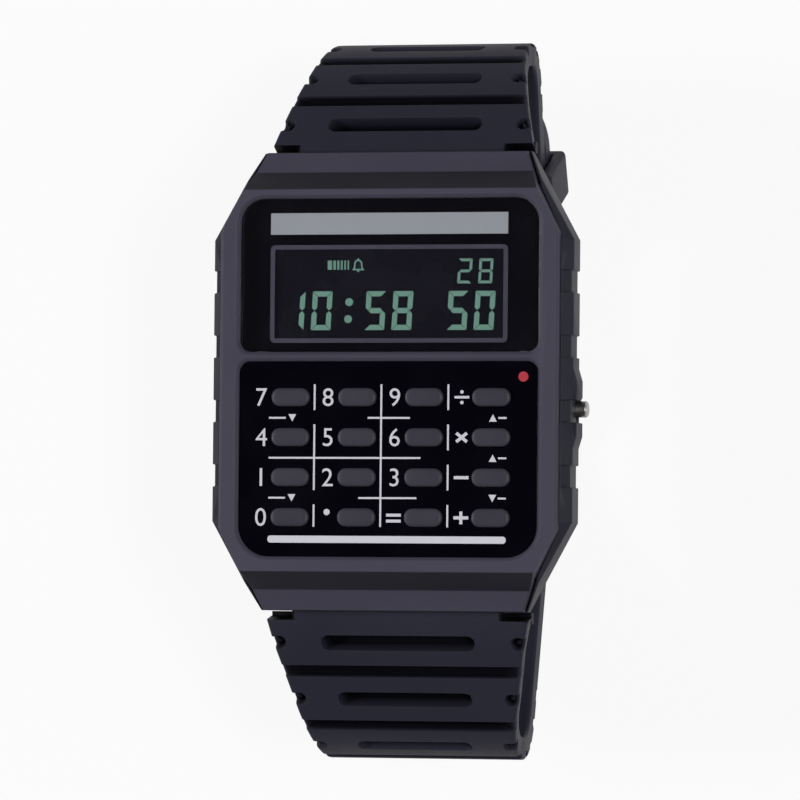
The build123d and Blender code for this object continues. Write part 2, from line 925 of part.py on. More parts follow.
# Rubber strips that connect the display with the board
with BuildPart() as connector_strips:
    with BuildSketch(Plane.XY.offset(height(board_top_depth))) as strips:
        reach = (panel_height - connector_depth) / 2 - running_gap
        with Locations((display_centre_x, frame_y + reach), (display_centre_x, frame_y - reach)):
            Rectangle(connector_width, connector_depth)
    extrude(amount=board_top_depth - panel_bottom_depth)
connector_strips.part.label = "connector_strips"
export_step(connector_strips.part, "parts/connector_strips.step")


# Space round the inner end of the push button, at the right edge of the module
def pusher_notch():
    with BuildSketch() as notch:
        with Locations((module_half_width, pusher_y)):
            Rectangle(2 * pusher_notch_depth, 2 * pusher_notch_half)
    return notch.sketch


with BuildPart() as circuit_board:
    with BuildSketch(Plane.XY.offset(height(board_bottom_depth))) as board_outline:
        add(module_outline(0))
        add(pusher_notch(), mode=Mode.SUBTRACT)
    extrude(amount=board_thickness)
circuit_board.part.label = "circuit_board"
export_step(circuit_board.part, "parts/circuit_board.step")

with BuildPart() as chip:
    with BuildSketch(Plane.XY.offset(height(board_bottom_depth + chip_height))) as chip_outline:
        with Locations((chip_x, parts_y)):
            Rectangle(chip_size, chip_size)
    extrude(amount=chip_height)
chip.part.label = "chip"
export_step(chip.part, "parts/chip.step")

with BuildPart() as crystal:
    with BuildSketch(Plane.XZ.offset(-parts_y + crystal_length / 2)) as crystal_end:
        with Locations((crystal_x, height(board_bottom_depth + crystal_radius))):
            Circle(crystal_radius)
    extrude(amount=-crystal_length)
crystal.part.label = "crystal"
export_step(crystal.part, "parts/crystal.step")

# Rear frame: holds the battery and leaves room for the parts on the board
clip_top_depth = rear_frame_bottom_depth - clip_seat
clip_half_length = battery_radius + battery_gap + clip_foot
with BuildPart() as rear_frame:
    with BuildSketch(Plane.XY.offset(height(rear_frame_bottom_depth))) as rear_outline:
        add(module_outline(0))
        with Locations((0, battery_y)):
            Circle(battery_radius + battery_gap, mode=Mode.SUBTRACT)
        with Locations((0, parts_y)):
            Rectangle(2 * parts_half_width, 2 * parts_half_height, mode=Mode.SUBTRACT)
    extrude(amount=rear_frame_bottom_depth - board_bottom_depth)
    with BuildSketch(Plane.XY.offset(height(pusher_depth + pusher_notch_half))) as notch_outline:
        add(pusher_notch())
    extrude(amount=case_thickness, mode=Mode.SUBTRACT)
    with BuildSketch(Plane.XY.offset(height(clip_top_depth))) as clip_space:
        with Locations((0, battery_y)):
            Rectangle(2 * (clip_half_length + running_gap), clip_width + 2 * running_gap)
    extrude(amount=-overrun, mode=Mode.SUBTRACT)
rear_frame.part.label = "rear_frame"
export_step(rear_frame.part, "parts/rear_frame.step")

with BuildPart() as battery:
    battery_bottom_depth = clip_top_depth - running_gap
    with BuildSketch(Plane.XY.offset(height(battery_bottom_depth))) as battery_outline:
        with Locations((0, battery_y)):
            Circle(battery_radius)
    extrude(amount=battery_thickness)
battery.part.label = "battery"
export_step(battery.part, "parts/battery.step")

with BuildPart() as battery_clip:
    with BuildSketch(Plane.XY.offset(height(clip_top_depth + clip_thickness))) as clip_outline:
        with Locations((0, battery_y)):
            Rectangle(2 * clip_half_length, clip_width)
    extrude(amount=clip_thickness)
battery_clip.part.label = "battery_clip"
export_step(battery_clip.part, "parts/battery_clip.step")

# Sounding disc stuck to the inside of the case back, and the spring that feeds it
buzzer_top_depth = back_top_depth - buzzer_thickness
with BuildPart() as buzzer_disc:
    with BuildSketch(Plane.XY.offset(height(back_top_depth))) as disc_outline:
        with Locations((buzzer_x, buzzer_y)):
            Circle(buzzer_radius)
    extrude(amount=buzzer_thickness)
buzzer_disc.part.label = "buzzer_disc"
export_step(buzzer_disc.part, "parts/buzzer_disc.step")

# A leaf of sheet metal: a foot on the board, a slope, and a pad on the disc
with BuildPart() as buzzer_spring:
    foot_end = buzzer_spring_x + buzzer_spring_foot
    pad_start = foot_end + buzzer_spring_reach
    upper_height = height(board_bottom_depth)
    lower_height = height(buzzer_top_depth)
    with BuildSketch(Plane.XZ.offset(-parts_y)) as leaf_side:
        with BuildLine():
            Polyline(
                (buzzer_spring_x, upper_height),
                (foot_end + buzzer_spring_thickness, upper_height),
                (pad_start + buzzer_spring_thickness, lower_height + buzzer_spring_thickness),
                (pad_start + buzzer_spring_foot, lower_height + buzzer_spring_thickness),
                (pad_start + buzzer_spring_foot, lower_height),
                (pad_start, lower_height),
                (foot_end, upper_height - buzzer_spring_thickness),
                (buzzer_spring_x, upper_height - buzzer_spring_thickness),
                close=True,
            )
        make_face()
    extrude(amount=buzzer_spring_width / 2, both=True)
buzzer_spring.part.label = "buzzer_spring"
export_step(buzzer_spring.part, "parts/buzzer_spring.step")

# Case back with its four screws and its gasket
with BuildPart() as case_back:
    extrude(
        tapered_outline(
            back_half_width, back_shoulder_y, back_end_half_width, back_half_length
        ),
        amount=back_thickness,
    )
    with BuildSketch() as head_holes:
        with GridLocations(2 * screw_x, 2 * screw_y, 2, 2):
            Circle(screw_head_radius + screw_clearance)
    extrude(amount=screw_head_height, mode=Mode.SUBTRACT)
    with BuildSketch() as shank_holes:
        with GridLocations(2 * screw_x, 2 * screw_y, 2, 2):
            Circle(screw_radius + screw_clearance)
    extrude(amount=back_thickness, mode=Mode.SUBTRACT)
case_back.part.label = "case_back"
export_step(case_back.part, "parts/case_back.step")

with BuildPart() as back_screws:
    with BuildSketch() as heads:
        with GridLocations(2 * screw_x, 2 * screw_y, 2, 2):
            Circle(screw_head_radius)
    extrude(amount=screw_head_height)
    with BuildSketch() as shanks:
        with GridLocations(2 * screw_x, 2 * screw_y, 2, 2):
            Circle(screw_radius)
    extrude(amount=screw_head_height + screw_length)
    with BuildSketch() as screw_slots:
        with GridLocations(2 * screw_x, 2 * screw_y, 2, 2):
            Rectangle(2 * screw_head_radius, screw_slot_width)
    extrude(amount=screw_slot_depth, mode=Mode.SUBTRACT)
back_screws.part.label = "back_screws"
export_step(back_screws.part, "parts/back_screws.step")

with BuildPart() as back_gasket:
    with BuildSketch(Plane.XY.offset(back_thickness)) as gasket_ring:
        gasket_inner = gasket_land + running_gap
        gasket_outer = gasket_land + gasket_width - running_gap
        RectangleRounded(
            2 * (cavity_half_width + gasket_outer),
            2 * (cavity_half_length + gasket_outer),
            corner_round + gasket_outer,
        )
        RectangleRounded(
            2 * (cavity_half_width + gasket_inner),
            2 * (cavity_half_length + gasket_inner),
            corner_round + gasket_inner,
            mode=Mode.SUBTRACT,
        )
    extrude(amount=gasket_height)
back_gasket.part.label = "back_gasket"
export_step(back_gasket.part, "parts/back_gasket.step")

# Push button: head, stem and the groove of its clip
head_outer_x = half_width + pusher_proud
head_inner_x = head_outer_x - pusher_head_length
clip_outer_x = cavity_half_width - running_gap
clip_inner_x = clip_outer_x - pusher_clip_thickness
stem_end_x = clip_inner_x - pusher_clip_thickness
with BuildPart() as pusher:
    extrude(side_cylinder_sketch(head_inner_x, pusher_head_radius), amount=pusher_head_length)
    chamfer(pusher.faces().sort_by(Axis.X)[-1].edges(), length=pusher_edge)
    extrude(
        side_cylinder_sketch(clip_outer_x, pusher_stem_radius), amount=head_inner_x - clip_outer_x
    )
    extrude(
        side_cylinder_sketch(clip_inner_x, pusher_groove_radius), amount=pusher_clip_thickness
    )
    extrude(
        side_cylinder_sketch(stem_end_x, pusher_stem_radius), amount=pusher_clip_thickness
    )
pusher.part.label = "pusher"
export_step(pusher.part, "parts/pusher.step")

with BuildPart() as pusher_clip:
    with BuildSketch(pusher_base.offset(clip_inner_x)) as clip_ring:
        Circle(pusher_clip_radius)
        Circle(pusher_groove_radius, mode=Mode.SUBTRACT)
        with Locations((0, -pusher_clip_radius)):
            Rectangle(2 * pusher_groove_radius, 2 * pusher_clip_radius, mode=Mode.SUBTRACT)
    extrude(amount=pusher_clip_thickness)
pusher_clip.part.label = "pusher_clip"
export_step(pusher_clip.part, "parts/pusher_clip.step")

with BuildPart() as pusher_seal:
    with BuildSketch(pusher_base.offset(pusher_floor_x)) as seal_ring:
        Circle(pusher_recess_radius)
        Circle(pusher_stem_radius, mode=Mode.SUBTRACT)
    extrude(amount=pusher_seal_length)
pusher_seal.part.label = "pusher_seal"
export_step(pusher_seal.part, "parts/pusher_seal.step")

with BuildPart() as pusher_spring:
    spring_base = pusher_base.offset(pusher_floor_x + pusher_seal_length + pusher_spring_wire / 2)
    coil = Helix(
        pitch=(pusher_spring_length - pusher_spring_wire) / pusher_spring_turns,
        height=pusher_spring_length - pusher_spring_wire,
        radius=pusher_spring_radius,
    ).moved(spring_base.location)
    with BuildSketch(Plane(origin=coil @ 0, x_dir=(1, 0, 0), z_dir=coil % 0)):
        Rectangle(pusher_spring_wire, pusher_spring_wire)
    sweep(path=coil, is_frenet=True)
pusher_spring.part.label = "pusher_spring"
export_step(pusher_spring.part, "parts/pusher_spring.step")

# Spring bars between the lugs
for name, side in (("spring_bar_12", 1), ("spring_bar_6", -1)):
    with BuildPart() as spring_bar:
        with BuildSketch(Plane.YZ) as barrel:
            with Locations((side * bar_y, height(bar_depth))):
                Circle(bar_radius)
        extrude(amount=bar_half_length, both=True)
        with BuildSketch(Plane.YZ) as pins:
            with Locations((side * bar_y, height(bar_depth))):
                Circle(bar_pin_radius)
        extrude(amount=bar_half_length + bar_pin_length, both=True)
    spring_bar.part.label = name
    export_step(spring_bar.part, "parts/" + name + ".step")

tab_end_y = half_length + tab_notch
reach_half = strap_root_half_width + overrun


# Everything that both halves of the strap have cut away from a full-width band
def strap_waste(side, apex_y, apex_depth):
    with BuildPart() as waste:
        extrude(
            side_waste(side, strap_root_half_width, strap_half_width, apex_y, apex_depth),
            amount=apex_depth,
        )
        extrude(
            back_waste(strap_half_width, strap_back_half_width, reach_half, apex_depth),
            amount=2 * case_length,
            both=True,
        )
        with BuildSketch(Plane.XY.offset(height(apex_depth))) as tab:
            with Locations(
                (tab_half_width + reach_half / 2, side * (tab_end_y - overrun)),
                (-tab_half_width - reach_half / 2, side * (tab_end_y - overrun)),
            ):
                Rectangle(reach_half, 2 * overrun)
        extrude(amount=apex_depth)
    return waste.part


def strap_marks(route, side, apex_y):
    with BuildPart() as marks:
        extrude(groove_profile(route, side), amount=reach_half, both=True)
        for number in range(slot_count):
            extrude(slot_profile(route, side, number), amount=slot_depth, both=True)
        for number in range(dimple_count):
            extrude(
                dimple_profile(
                    route, side, number, strap_root_half_width, strap_half_width, apex_y
                ),
                amount=dimple_depth,
                both=True,
            )
    return marks.part


def round_profile(across, deep, radius):
    with BuildSketch(Plane.YZ) as circle:
        with Locations((across, height(deep))):
            Circle(radius)
    return circle.sketch


# 12 o'clock half of the strap: it ends in a loop round the buckle's bar
with BuildPart() as strap_12:
    extrude(band_profile(upper_route, 1, 0, strap_thickness), amount=strap_root_half_width, both=True)
    add(strap_waste(1, upper_apex_y, upper_apex_depth), mode=Mode.SUBTRACT)
    extrude(round_profile(bar_y, bar_depth, strap_boss_radius), amount=tab_half_width, both=True)
    extrude(
        round_profile(buckle_bar_y, buckle_bar_depth, tongue_ring_radius),
        amount=strap_back_half_width,
        both=True,
    )
    add(strap_marks(upper_route, 1, upper_apex_y), mode=Mode.SUBTRACT)
    extrude(
        round_profile(bar_y, bar_depth, bar_radius + bar_bore_clearance),
        amount=reach_half,
        both=True,
        mode=Mode.SUBTRACT,
    )
    extrude(
        round_profile(buckle_bar_y, buckle_bar_depth, buckle_bar_radius + bar_bore_clearance),
        amount=reach_half,
        both=True,
        mode=Mode.SUBTRACT,
    )
    # Notch for the tongue's ring
    with BuildSketch(Plane.YZ) as notch_side:
        with Locations((buckle_bar_y - overrun / 2, height(buckle_bar_depth))):
            Rectangle(
                2 * (tongue_ring_radius + tongue_notch_clearance) + overrun,
                2 * (tongue_ring_radius + tongue_notch_clearance),
            )
    extrude(amount=tongue_width / 2 + tongue_notch_clearance, both=True, mode=Mode.SUBTRACT)
strap_12.part.label = "strap_12"
export_step(strap_12.part, "parts/strap_12.step")

# 6 o'clock half of the strap: its tail passes through the buckle and the keeper
tongue_hole_y = tongue_rise_y - tongue_run / 2
flat_start_length = sum(step_length(step) for step in lower_route[:6])
tongue_hole_length = flat_start_length + lower_flat[0] + tongue_hole_y
with BuildPart() as strap_6:
    extrude(band_profile(lower_route, -1, 0, strap_thickness), amount=strap_root_half_width, both=True)
    add(strap_waste(-1, lower_apex_y, lower_apex_depth), mode=Mode.SUBTRACT)
    extrude(round_profile(-bar_y, bar_depth, strap_boss_radius), amount=tab_half_width, both=True)
    add(strap_marks(lower_route, -1, lower_apex_y), mode=Mode.SUBTRACT)
    extrude(
        round_profile(-bar_y, bar_depth, bar_radius + bar_bore_clearance),
        amount=reach_half,
        both=True,
        mode=Mode.SUBTRACT,
    )
    for number in range(-hole_count_root, hole_count_tail + 1):
        station = tongue_hole_length + hole_pitch * number
        with BuildSketch(face_plane(lower_route, -1, station)) as hole:
            SlotOverall(hole_length, hole_width, rotation=90)
        extrude(amount=strap_thickness + layer_gap / 2, both=True, mode=Mode.SUBTRACT)
strap_6.part.label = "strap_6"
export_step(strap_6.part, "parts/strap_6.step")

# Buckle: two arms with a foot, joined by the cross-bar on which the tongue's tip lies
with BuildPart() as buckle_frame:
    with BuildSketch(Plane.YZ) as arm_side:
        with Locations((buckle_bar_y, height(buckle_bar_depth))):
            Circle(buckle_eye_radius)
        with Locations(
            (cross_bar_y, height(cross_bar_top_depth + cross_bar_height / 2))
        ):
            Rectangle(cross_bar_length, cross_bar_height)
        with Locations(
            (buckle_heel_y - cross_bar_height / 2, height(cross_bar_bottom_depth - cross_bar_height / 2))
        ):
            Rectangle(cross_bar_height, cross_bar_height)
        make_hull()
    extrude(amount=buckle_arm_inner_x + buckle_arm_thickness, both=True)
    extrude(arm_side.sketch, amount=buckle_arm_inner_x, both=True, mode=Mode.SUBTRACT)
    with BuildSketch(Plane.YZ) as cross_side:
        with Locations((cross_bar_y, height(cross_bar_top_depth + cross_bar_height / 2))):
            Rectangle(cross_bar_length, cross_bar_height)
    extrude(amount=buckle_arm_inner_x + buckle_arm_thickness / 2, both=True)
    with BuildSketch(Plane.YZ) as tip_seat:
        with Locations((cross_bar_y, height(cross_bar_bottom_depth))):
            Rectangle(2 * cross_bar_length, 2 * tongue_recess)
    extrude(amount=tongue_width / 2 + tongue_notch_clearance, both=True, mode=Mode.SUBTRACT)
    extrude(
        round_profile(buckle_bar_y, buckle_bar_depth, buckle_bar_radius),
        amount=buckle_arm_inner_x + buckle_bar_inset,
        both=True,
        mode=Mode.SUBTRACT,
    )
buckle_frame.part.label = "buckle_frame"
export_step(buckle_frame.part, "parts/buckle_frame.step")

with BuildPart() as buckle_bar:
    extrude(
        round_profile(buckle_bar_y, buckle_bar_depth, buckle_bar_radius),
        amount=buckle_arm_inner_x + buckle_bar_inset,
        both=True,
    )
buckle_bar.part.label = "buckle_bar"
export_step(buckle_bar.part, "parts/buckle_bar.step")

# Tongue: a ring round the bar, then a rod that steps out through a hole in the tail
tip_depth = cross_bar_bottom_depth - running_gap - tongue_thickness / 2
tongue_path = [
    (buckle_bar_y, height(buckle_bar_depth)),
    (tongue_rise_y, height(buckle_bar_depth)),
    (tongue_rise_y - tongue_run, height(tip_depth)),
    (tongue_tip_y + tongue_thickness / 2, height(tip_depth)),
]
with BuildPart() as tongue:
    with BuildSketch(Plane.YZ) as tongue_side:
        for first, last in zip(tongue_path, tongue_path[1:]):
            run = math.hypot(last[0] - first[0], last[1] - first[1])
            angle = math.degrees(math.atan2(last[1] - first[1], last[0] - first[0]))
            with Locations(((first[0] + last[0]) / 2, (first[1] + last[1]) / 2)):
                Rectangle(run, tongue_thickness, rotation=angle)
            with Locations(last):
                Circle(tongue_thickness / 2)
        with Locations(tongue_path[0]):
            Circle(tongue_ring_radius)
            Circle(buckle_bar_radius + bar_bore_clearance, mode=Mode.SUBTRACT)
    extrude(amount=tongue_width / 2, both=True)
tongue.part.label = "tongue"
export_step(tongue.part, "parts/tongue.step")

# Keeper: a loop round both layers of the strap
keeper_length_along = sum(step_length(step) for step in upper_route[:4]) + keeper_station
layers = 2 * strap_thickness + layer_gap
with BuildPart() as keeper:
    with Locations(face_plane(upper_route, 1, keeper_length_along, layer_gap / 2).location):
        Box(
            2 * (strap_back_half_width + keeper_side_clearance + keeper_side_wall),
            keeper_length,
            layers + 2 * (keeper_clearance + keeper_wall),
        )
        fillet(keeper.edges().filter_by(lambda edge: abs((edge % 0).X) < keeper_round), radius=keeper_round)
        Box(
            2 * (strap_back_half_width + keeper_side_clearance),
            keeper_length + overrun,
            layers + 2 * keeper_clearance,
            mode=Mode.SUBTRACT,
        )
keeper.part.label = "keeper"
export_step(keeper.part, "parts/keeper.step")
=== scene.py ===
import math

import bmesh
import bpy
import numpy as np
from mathutils import Matrix, Vector


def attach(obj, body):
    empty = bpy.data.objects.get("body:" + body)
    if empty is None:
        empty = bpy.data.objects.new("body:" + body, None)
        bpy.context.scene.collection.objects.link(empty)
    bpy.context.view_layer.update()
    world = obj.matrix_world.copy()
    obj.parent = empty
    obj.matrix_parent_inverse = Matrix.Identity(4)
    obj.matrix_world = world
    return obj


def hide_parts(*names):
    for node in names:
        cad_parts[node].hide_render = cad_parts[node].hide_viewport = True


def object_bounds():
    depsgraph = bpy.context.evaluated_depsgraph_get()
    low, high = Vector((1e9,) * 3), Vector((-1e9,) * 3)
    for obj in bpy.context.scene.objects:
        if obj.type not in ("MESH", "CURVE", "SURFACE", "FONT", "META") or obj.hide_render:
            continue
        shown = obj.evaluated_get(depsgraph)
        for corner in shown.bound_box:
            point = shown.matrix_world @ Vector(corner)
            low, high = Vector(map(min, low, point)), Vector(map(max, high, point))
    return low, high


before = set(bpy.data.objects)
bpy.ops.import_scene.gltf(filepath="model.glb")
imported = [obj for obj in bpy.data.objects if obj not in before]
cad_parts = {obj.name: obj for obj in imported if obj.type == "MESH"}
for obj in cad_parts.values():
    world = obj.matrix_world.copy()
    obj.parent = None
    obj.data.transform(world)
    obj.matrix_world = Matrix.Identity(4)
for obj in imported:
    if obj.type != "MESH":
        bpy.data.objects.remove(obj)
cadLow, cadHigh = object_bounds()
print("frame loaded:", len(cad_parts), "nodes")

mm = 0.001
caseThickness = 8.2  # mm, from the front of the bezel to the case back


# Height in mm of a depth below the bezel's front: the case's thickness less the depth
def heightOf(depth):
    return caseThickness - depth


# A linked object at the origin
def newObject(name, data):
    piece = bpy.data.objects.new(name, data)
    bpy.context.scene.collection.objects.link(piece)
    return piece


# One mesh object from points in mm; faces stay as they are given
def addMesh(name, points, faces, material, body, smoothAngle=35):
    mesh = bpy.data.meshes.new(name)
    mesh.from_pydata((np.asarray(points, dtype=float) * mm).tolist(), [], faces)
    mesh.validate()
    mesh.shade_smooth()
    mesh.set_sharp_from_angle(angle=math.radians(smoothAngle))
    mesh.materials.append(material)
    piece = newObject(name, mesh)
    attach(piece, body)
    return piece


# Quads of a grid of rows by columns, with the columns closed into a ring if asked
def gridFaces(rows, columns, closed=False, start=0):
    last = columns if closed else columns - 1
    row, column = np.meshgrid(np.arange(rows - 1), np.arange(last), indexing="ij")
    nextColumn = (column + 1) % columns
    a = row * columns + column
    b = row * columns + nextColumn
    quads = np.stack([a, b, b + columns, a + columns], axis=-1).reshape(-1, 4) + start
    return quads.tolist()


# Several (points, faces) pairs as one
def joined(parts):
    points, faces, count = [], [], 0
    for partPoints, partFaces in parts:
        points.append(np.asarray(partPoints, dtype=float))
        faces += [[index + count for index in face] for face in partFaces]
        count += len(partPoints)
    return np.concatenate(points), faces


# Rounded rectangle as a ring of points: four quarter circles joined by straight sides
def roundedRing(halfWide, halfHigh, radius, perCorner=8):
    turn = np.linspace(0, math.pi / 2, perCorner)
    quarter = np.stack([np.cos(turn), np.sin(turn)], axis=-1) * radius
    centre = np.array([halfWide - radius, halfHigh - radius])
    first = quarter + centre
    second = np.stack([-quarter[::-1, 0] - centre[0], quarter[::-1, 1] + centre[1]], axis=-1)
    return np.concatenate([first, second, -first, -second])


# Rings of the same outline, each moved inwards and up by its row of the profile, closed at both ends
def ringLoft(outline, profile, centre):
    rings = []
    halfWide, halfHigh, radius = outline
    for inset, level in profile:
        ring = roundedRing(halfWide - inset, halfHigh - inset, max(radius - inset, 0.02))
        rings.append(np.column_stack([ring + np.asarray(centre), np.full(len(ring), level)]))
    count = len(rings[0])
    faces = gridFaces(len(rings), count, closed=True)
    faces.append(list(range(count))[::-1])
    faces.append([index + count * (len(rings) - 1) for index in range(count)])
    return np.concatenate(rings), faces


# Box between two levels round a centre
def blockMesh(centre, halfWide, halfHigh, low, high):
    corners = np.array([[-1, -1], [1, -1], [1, 1], [-1, 1]]) * (halfWide, halfHigh) + centre
    points = np.concatenate([np.column_stack([corners, np.full(4, level)]) for level in (low, high)])
    return points, gridFaces(2, 4, closed=True) + [[3, 2, 1, 0], [4, 5, 6, 7]]


# Tube of the strap round a bar along X: four rings outside, two in the bore, and the first ring again
def barTube(low, high, radius, bevel, across, level, bore=0.8, around=48):
    turn = np.linspace(0, 2 * math.pi, around, endpoint=False)
    profile = [(low, radius - bevel), (low + bevel, radius), (high - bevel, radius), (high, radius - bevel),
               (high, bore), (low, bore), (low, radius - bevel)]
    rings = [np.column_stack([np.full(around, along), across + size * np.cos(turn),
                              level + size * np.sin(turn)]) for along, size in profile]
    return np.concatenate(rings), gridFaces(len(rings), around, closed=True)


# sRGB hex to the linear colour that a shader takes
def linearColour(code, alpha=1.0):
    parts = [int(code[index:index + 2], 16) / 255 for index in (1, 3, 5)]
    return tuple(
        part / 12.92 if part <= 0.04045 else ((part + 0.055) / 1.055) ** 2.4 for part in parts
    ) + (alpha,)


# A node with its constants and settings; links are the outputs that feed its sockets
def addNode(tree, kind, values=None, links=None, **settings):
    node = tree.nodes.new("ShaderNode" + kind)
    for key, value in settings.items():
        setattr(node, key, value)
    for key, value in (values or {}).items():
        node.inputs[key].default_value = value
    for key, source in (links or {}).items():
        tree.links.new(source, node.inputs[key])
    return node


# A material with an empty node tree
def newMaterial(name):
    material = bpy.data.materials.new(name)
    material.use_nodes = True
    tree = material.node_tree
    tree.nodes.clear()
    return material, tree


# Scale of a pattern on Object coordinates, as repeats per metre, from the size of one in mm
def perMetre(sizeMm):
    return 1 / (sizeMm * mm)


# Moulded plastic or rubber: a fine spark-eroded grain in the surface, a slow drift of colour from
# handling, and edges worn a little lighter. Some have painted shade: a darker colour in recesses or on sloped
# faces.
def mouldedMaterial(name, look):
    material, tree = newMaterial(name)
    place = addNode(tree, "TexCoord").outputs["Object"]
    grain = addNode(tree, "TexNoise", {"Scale": perMetre(look["grainMm"]), "Detail": 3.0}, {"Vector": place})
    drift = addNode(tree, "TexNoise", {"Scale": perMetre(look["driftMm"]), "Detail": 4.0}, {"Vector": place})
    rounded = addNode(tree, "Bevel", {"Radius": look["edgeMm"] * mm}, samples=4).outputs["Normal"]
    geometry = addNode(tree, "NewGeometry")
    facing = addNode(tree, "VectorMath", None, {0: rounded, 1: geometry.outputs["Normal"]},
                     operation="DOT_PRODUCT")
    worn = addNode(tree, "MapRange",
                   {"From Min": 1.0, "From Max": 0.75, "To Min": 0.0, "To Max": look["wear"]},
                   {"Value": facing.outputs["Value"]})
    layers = [("edge", worn.outputs["Result"])]
    # painted shade in recesses, by a share stored on the mesh's points
    if "recessShade" in look:
        layers.append(("recessShade", addNode(tree, "Attribute", attribute_name="recessShade").outputs["Fac"]))
    if "slope" in look:
        # painted shade on the sloped ends: how much a face leans along the watch, and how far it lies from
        # the middle
        along = [addNode(tree, "SeparateXYZ", None, {"Vector": vector}).outputs["Y"]
                 for vector in (geometry.outputs["True Normal"], place)]
        lean, away = (addNode(tree, "Math", None, {0: y}, operation="ABSOLUTE").outputs[0] for y in along)
        start, full = look["slopeShadeLeans"]
        leaning = addNode(tree, "MapRange", {"From Min": start, "From Max": full}, {"Value": lean})
        atEnds = addNode(tree, "Math", {1: look["slopeShadeStart"] * mm}, {0: away}, operation="GREATER_THAN")
        slopeShadeShare = addNode(tree, "Math", None, {0: leaning.outputs["Result"], 1: atEnds.outputs[0]},
                       operation="MULTIPLY")
        layers.append(("slope", slopeShadeShare.outputs[0]))
    paint = addNode(tree, "Mix", {6: linearColour(look["colour"]), 7: linearColour(look["shade"])},
                    {0: drift.outputs["Fac"]}, data_type="RGBA").outputs[2]
    for tone, share in layers:
        paint = addNode(tree, "Mix", {7: linearColour(look[tone])}, {0: share, 6: paint},
                        data_type="RGBA").outputs[2]
    # the drift of colour also leaves the surface a little smoother here and rougher there
    low, high = look["rough"] - 0.05, look["rough"] + 0.07
    rough = addNode(tree, "MapRange", {"From Min": 0.3, "From Max": 0.7, "To Min": low, "To Max": high},
                    {"Value": drift.outputs["Fac"]})
    bump = addNode(tree, "Bump", {"Strength": look["grain"], "Distance": look["grainMm"] * mm * 0.3},
                   {"Height": grain.outputs["Fac"], "Normal": rounded})
    shader = addNode(tree, "BsdfPrincipled", {"IOR": 1.5, "Specular IOR Level": look["gloss"]},
                     {"Base Color": paint, "Roughness": rough.outputs["Result"],
                      "Normal": bump.outputs["Normal"]})
    addNode(tree, "OutputMaterial", None, {"Surface": shader.outputs["BSDF"]})
    return material


# Brushed, turned or rolled metal: fine parallel scratches stretched along one axis
def metalMaterial(name, look):
    material, tree = newMaterial(name)
    place = addNode(tree, "TexCoord").outputs["Object"]
    stretched = addNode(tree, "Mapping", {"Scale": look["stretch"]}, {"Vector": place}).outputs["Vector"]
    lines = addNode(tree, "TexNoise", {"Scale": perMetre(look["scratchMm"]), "Detail": 2.0},
                    {"Vector": stretched}).outputs["Fac"]
    rounded = addNode(tree, "Bevel", {"Radius": look["edgeMm"] * mm}, samples=4).outputs["Normal"]
    low, high = look["rough"] - 0.06, look["rough"] + 0.1
    rough = addNode(tree, "MapRange", {"From Min": 0.3, "From Max": 0.7, "To Min": low, "To Max": high},
                    {"Value": lines})
    tone = addNode(tree, "Mix", {6: linearColour(look["colour"]), 7: linearColour(look["shade"])},
                   {0: lines}, data_type="RGBA")
    bump = addNode(tree, "Bump", {"Strength": 0.25, "Distance": look["scratchMm"] * mm * 0.2},
                   {"Height": lines, "Normal": rounded})
    shader = addNode(tree, "BsdfPrincipled", {"Metallic": 1.0},
                     {"Base Color": tone.outputs[2], "Roughness": rough.outputs["Result"],
                      "Normal": bump.outputs["Normal"]})
    addNode(tree, "OutputMaterial", None, {"Surface": shader.outputs["BSDF"]})
    return material


# Clear sheet: it shows what is behind it, lets the lamps' light through, and has a faint tint that
# drifts over it
def clearMaterial(name, look):
    material, tree = newMaterial(name)
    place = addNode(tree, "TexCoord").outputs["Object"]
    drift = addNode(tree, "TexNoise", {"Scale": perMetre(look["driftMm"]), "Detail": 2.0}, {"Vector": place})
    tint = addNode(tree, "Mix", {6: linearColour(look["colour"]), 7: linearColour(look["shade"])},
                   {0: drift.outputs["Fac"]}, data_type="RGBA")
    shader = addNode(tree, "BsdfPrincipled",
                     {"Roughness": look["rough"], "IOR": look["ior"], "Specular IOR Level": look["gloss"],
                      "Transmission Weight": 1.0}, {"Base Color": tint.outputs[2]})
    ray = addNode(tree, "LightPath").outputs
    lampRay = addNode(tree, "Math", None, {0: ray["Is Shadow Ray"], 1: ray["Is Diffuse Ray"]},
                      operation="MAXIMUM")
    passed = addNode(tree, "BsdfTransparent")
    sheet = addNode(tree, "MixShader", None,
                    {0: lampRay.outputs[0], 1: shader.outputs["BSDF"], 2: passed.outputs["BSDF"]})
    addNode(tree, "OutputMaterial", None, {"Surface": sheet.outputs["Shader"]})
    return material


